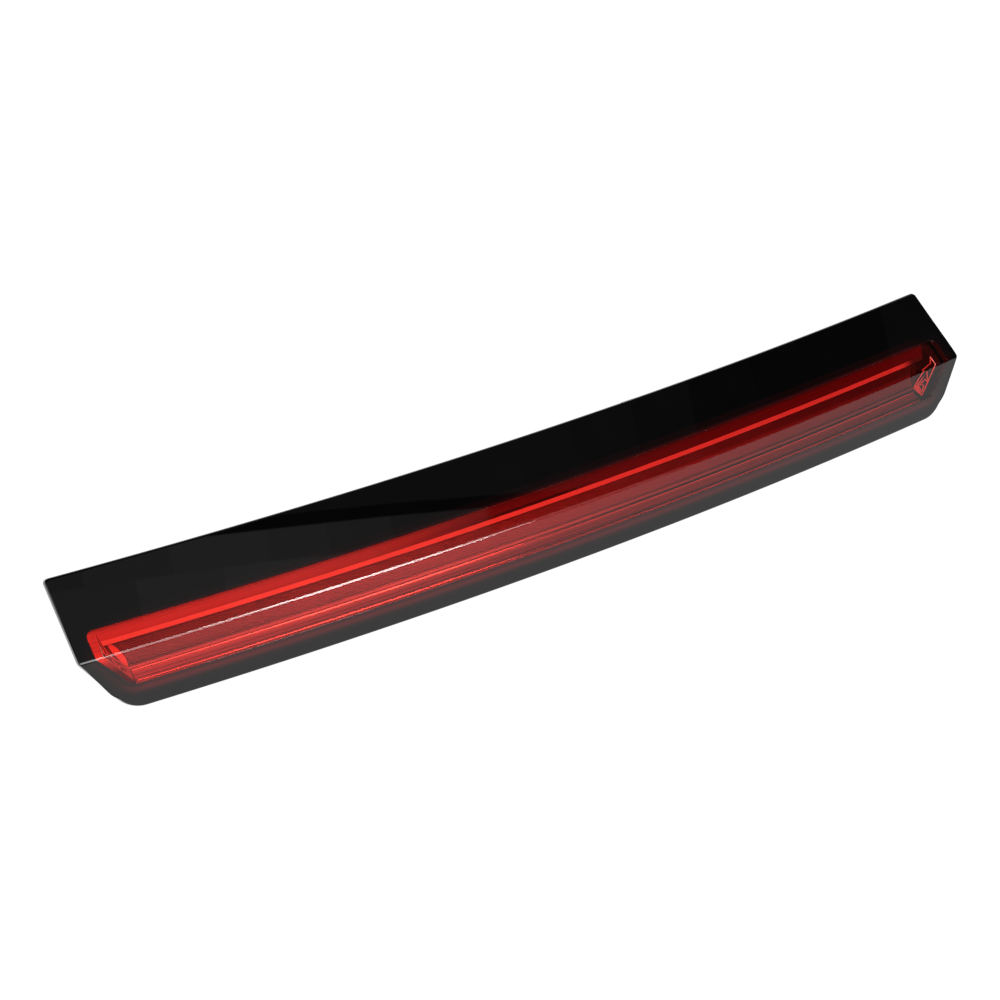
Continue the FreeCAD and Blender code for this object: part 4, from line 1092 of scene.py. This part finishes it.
def area_light(name, width, height, radiance):
    """A rectangular light that the camera doesn't see; radiance is its brightness as seen in a mirror."""
    data = bpy.data.lights.new(name, "AREA")
    data.shape = "RECTANGLE"
    data.size, data.size_y = width, height
    data.energy = radiance * math.pi * width * height
    light = bpy.data.objects.new(name, data)
    light.visible_camera = False
    bpy.context.scene.collection.objects.link(light)
    return light


def soft_light(name, azimuth, elevation, distance, width, height, radiance):
    """A studio light aimed at the lamp."""
    light = area_light(name, width, height, radiance)
    light.location = direction(azimuth, elevation) * distance
    light.rotation_euler = (-light.location).to_track_quat("-Z", "Y").to_euler()


def ceiling_panel(name, near_edge, far_edge, start, end, radiance):
    """A dim panel overhead with slanting long edges; edges are y at x = 0, start and end are x."""
    turn = math.atan(CEILING_SLOPE)
    middle = (start + end) / 2
    width, depth = (end - start) / math.cos(turn), (far_edge - near_edge) * math.cos(turn)
    light = area_light(name, width, depth, radiance)
    light.location = (middle, (near_edge + far_edge) / 2 + CEILING_SLOPE * middle, CEILING_HEIGHT)
    light.rotation_euler = (0, 0, turn)


# Overhead panels. The low rows and the high row leave a dark gap between them, which the cap mirrors.
# Panels are start and end along x, and radiance.
CEILING_SLOPE, CEILING_HEIGHT = -0.175, 2.0
NEAR_ROW, EDGE_ROW, HIGH_ROW = (-1.10, -0.165), (-0.165, -0.1161), (-0.0964, 0.910)
EDGE_SHARE = 0.78
CEILING_LOW = ((-0.5, 0.1, 0.25), (0.1, 0.25, 0.31), (0.25, 0.42, 0.36), (0.42, 0.53, 0.32),
               (0.53, 0.65, 0.27), (0.65, 0.84, 0.21))
CEILING_HIGH = ((0.2, 1.02, 0.06), (1.02, 1.14, 0.055), (1.14, 1.28, 0.045), (1.28, 1.42, 0.032),
                (1.42, 1.58, 0.012), (1.58, 1.96, 0.003), (1.96, 2.3, 0.024))

# Azimuth, elevation, distance, width, height, radiance
SOFT_LIGHTS = {
    "key_softbox": (17, 36, 2.2, 0.43, 1.7, 18.0),
    "wide_softbox": (12, 36, 2.21, 1.05, 1.7, 6.0),
    "dim_softbox": (18, 36, 2.25, 1.4, 1.7, 1.0),
    "left_fill": (-95, 40, 3.0, 2.2, 2.0, 2.2),
    "back_fill": (165, 38, 3.0, 3.0, 2.0, 2.2),
    "right_fill": (118, 30, 3.2, 1.4, 1.8, 1.6),
}


def lights():
    for k, (start, end, radiance) in enumerate(CEILING_LOW):
        ceiling_panel(f"panel_near_{k}", *NEAR_ROW, start, end, radiance)
        ceiling_panel(f"panel_edge_{k}", *EDGE_ROW, start, end, radiance * EDGE_SHARE)
    for k, panel in enumerate(CEILING_HIGH):
        ceiling_panel(f"panel_high_{k}", *HIGH_ROW, *panel)
    for name, values in SOFT_LIGHTS.items():
        soft_light(name, *values)
    world = bpy.data.worlds.new("studio")
    world.use_nodes = True
    world.node_tree.nodes["Background"].inputs["Color"].default_value = (0.9, 0.95, 1.0, 1)
    world.node_tree.nodes["Background"].inputs["Strength"].default_value = 0.02
    bpy.context.scene.world = world


CAMERA_AT, CAMERA_AIM = (-0.38977, -0.62596, 0.49674), (0.42470, 0.70046, -0.57358)
FOCAL_LENGTH, SENSOR_WIDTH = 70.74, 36.0


def camera():
    data = bpy.data.cameras.new("camera")
    data.lens, data.sensor_width = FOCAL_LENGTH, SENSOR_WIDTH
    item = bpy.data.objects.new("camera", data)
    item.location = CAMERA_AT
    item.rotation_euler = Vector(CAMERA_AIM).to_track_quat("-Z", "Y").to_euler()
    bpy.context.scene.collection.objects.link(item)
    bpy.context.scene.camera = item


def build():
    bezel([MATERIALS["gloss"]])
    lens([MATERIALS["lens"], MATERIALS["lens_inside"]])
    tray([MATERIALS[kind] for kind in TRAY_MATERIALS_WITH_PAINTED_LIGHT])
    inner_strip([MATERIALS["strip"]])
    for name in ("stud_left", "stud_right"):
        stud(name, [MATERIALS["steel"]])
    gasket([MATERIALS["foam"]])
    edge_foam("upper_edge_seal", TOP_DIR, TOP_IN, UPPER_SEAL, [MATERIALS["foam"]])
    edge_foam("lower_edge_seal", REAR_DIR, REAR_IN, LOWER_SEAL, [MATERIALS["foam"]])
    finish_cad_nodes()
    floor()
    lights()
    camera()
    bpy.context.scene.view_settings.view_transform = "Standard"
    bpy.context.scene.view_settings.look = "None"


build()
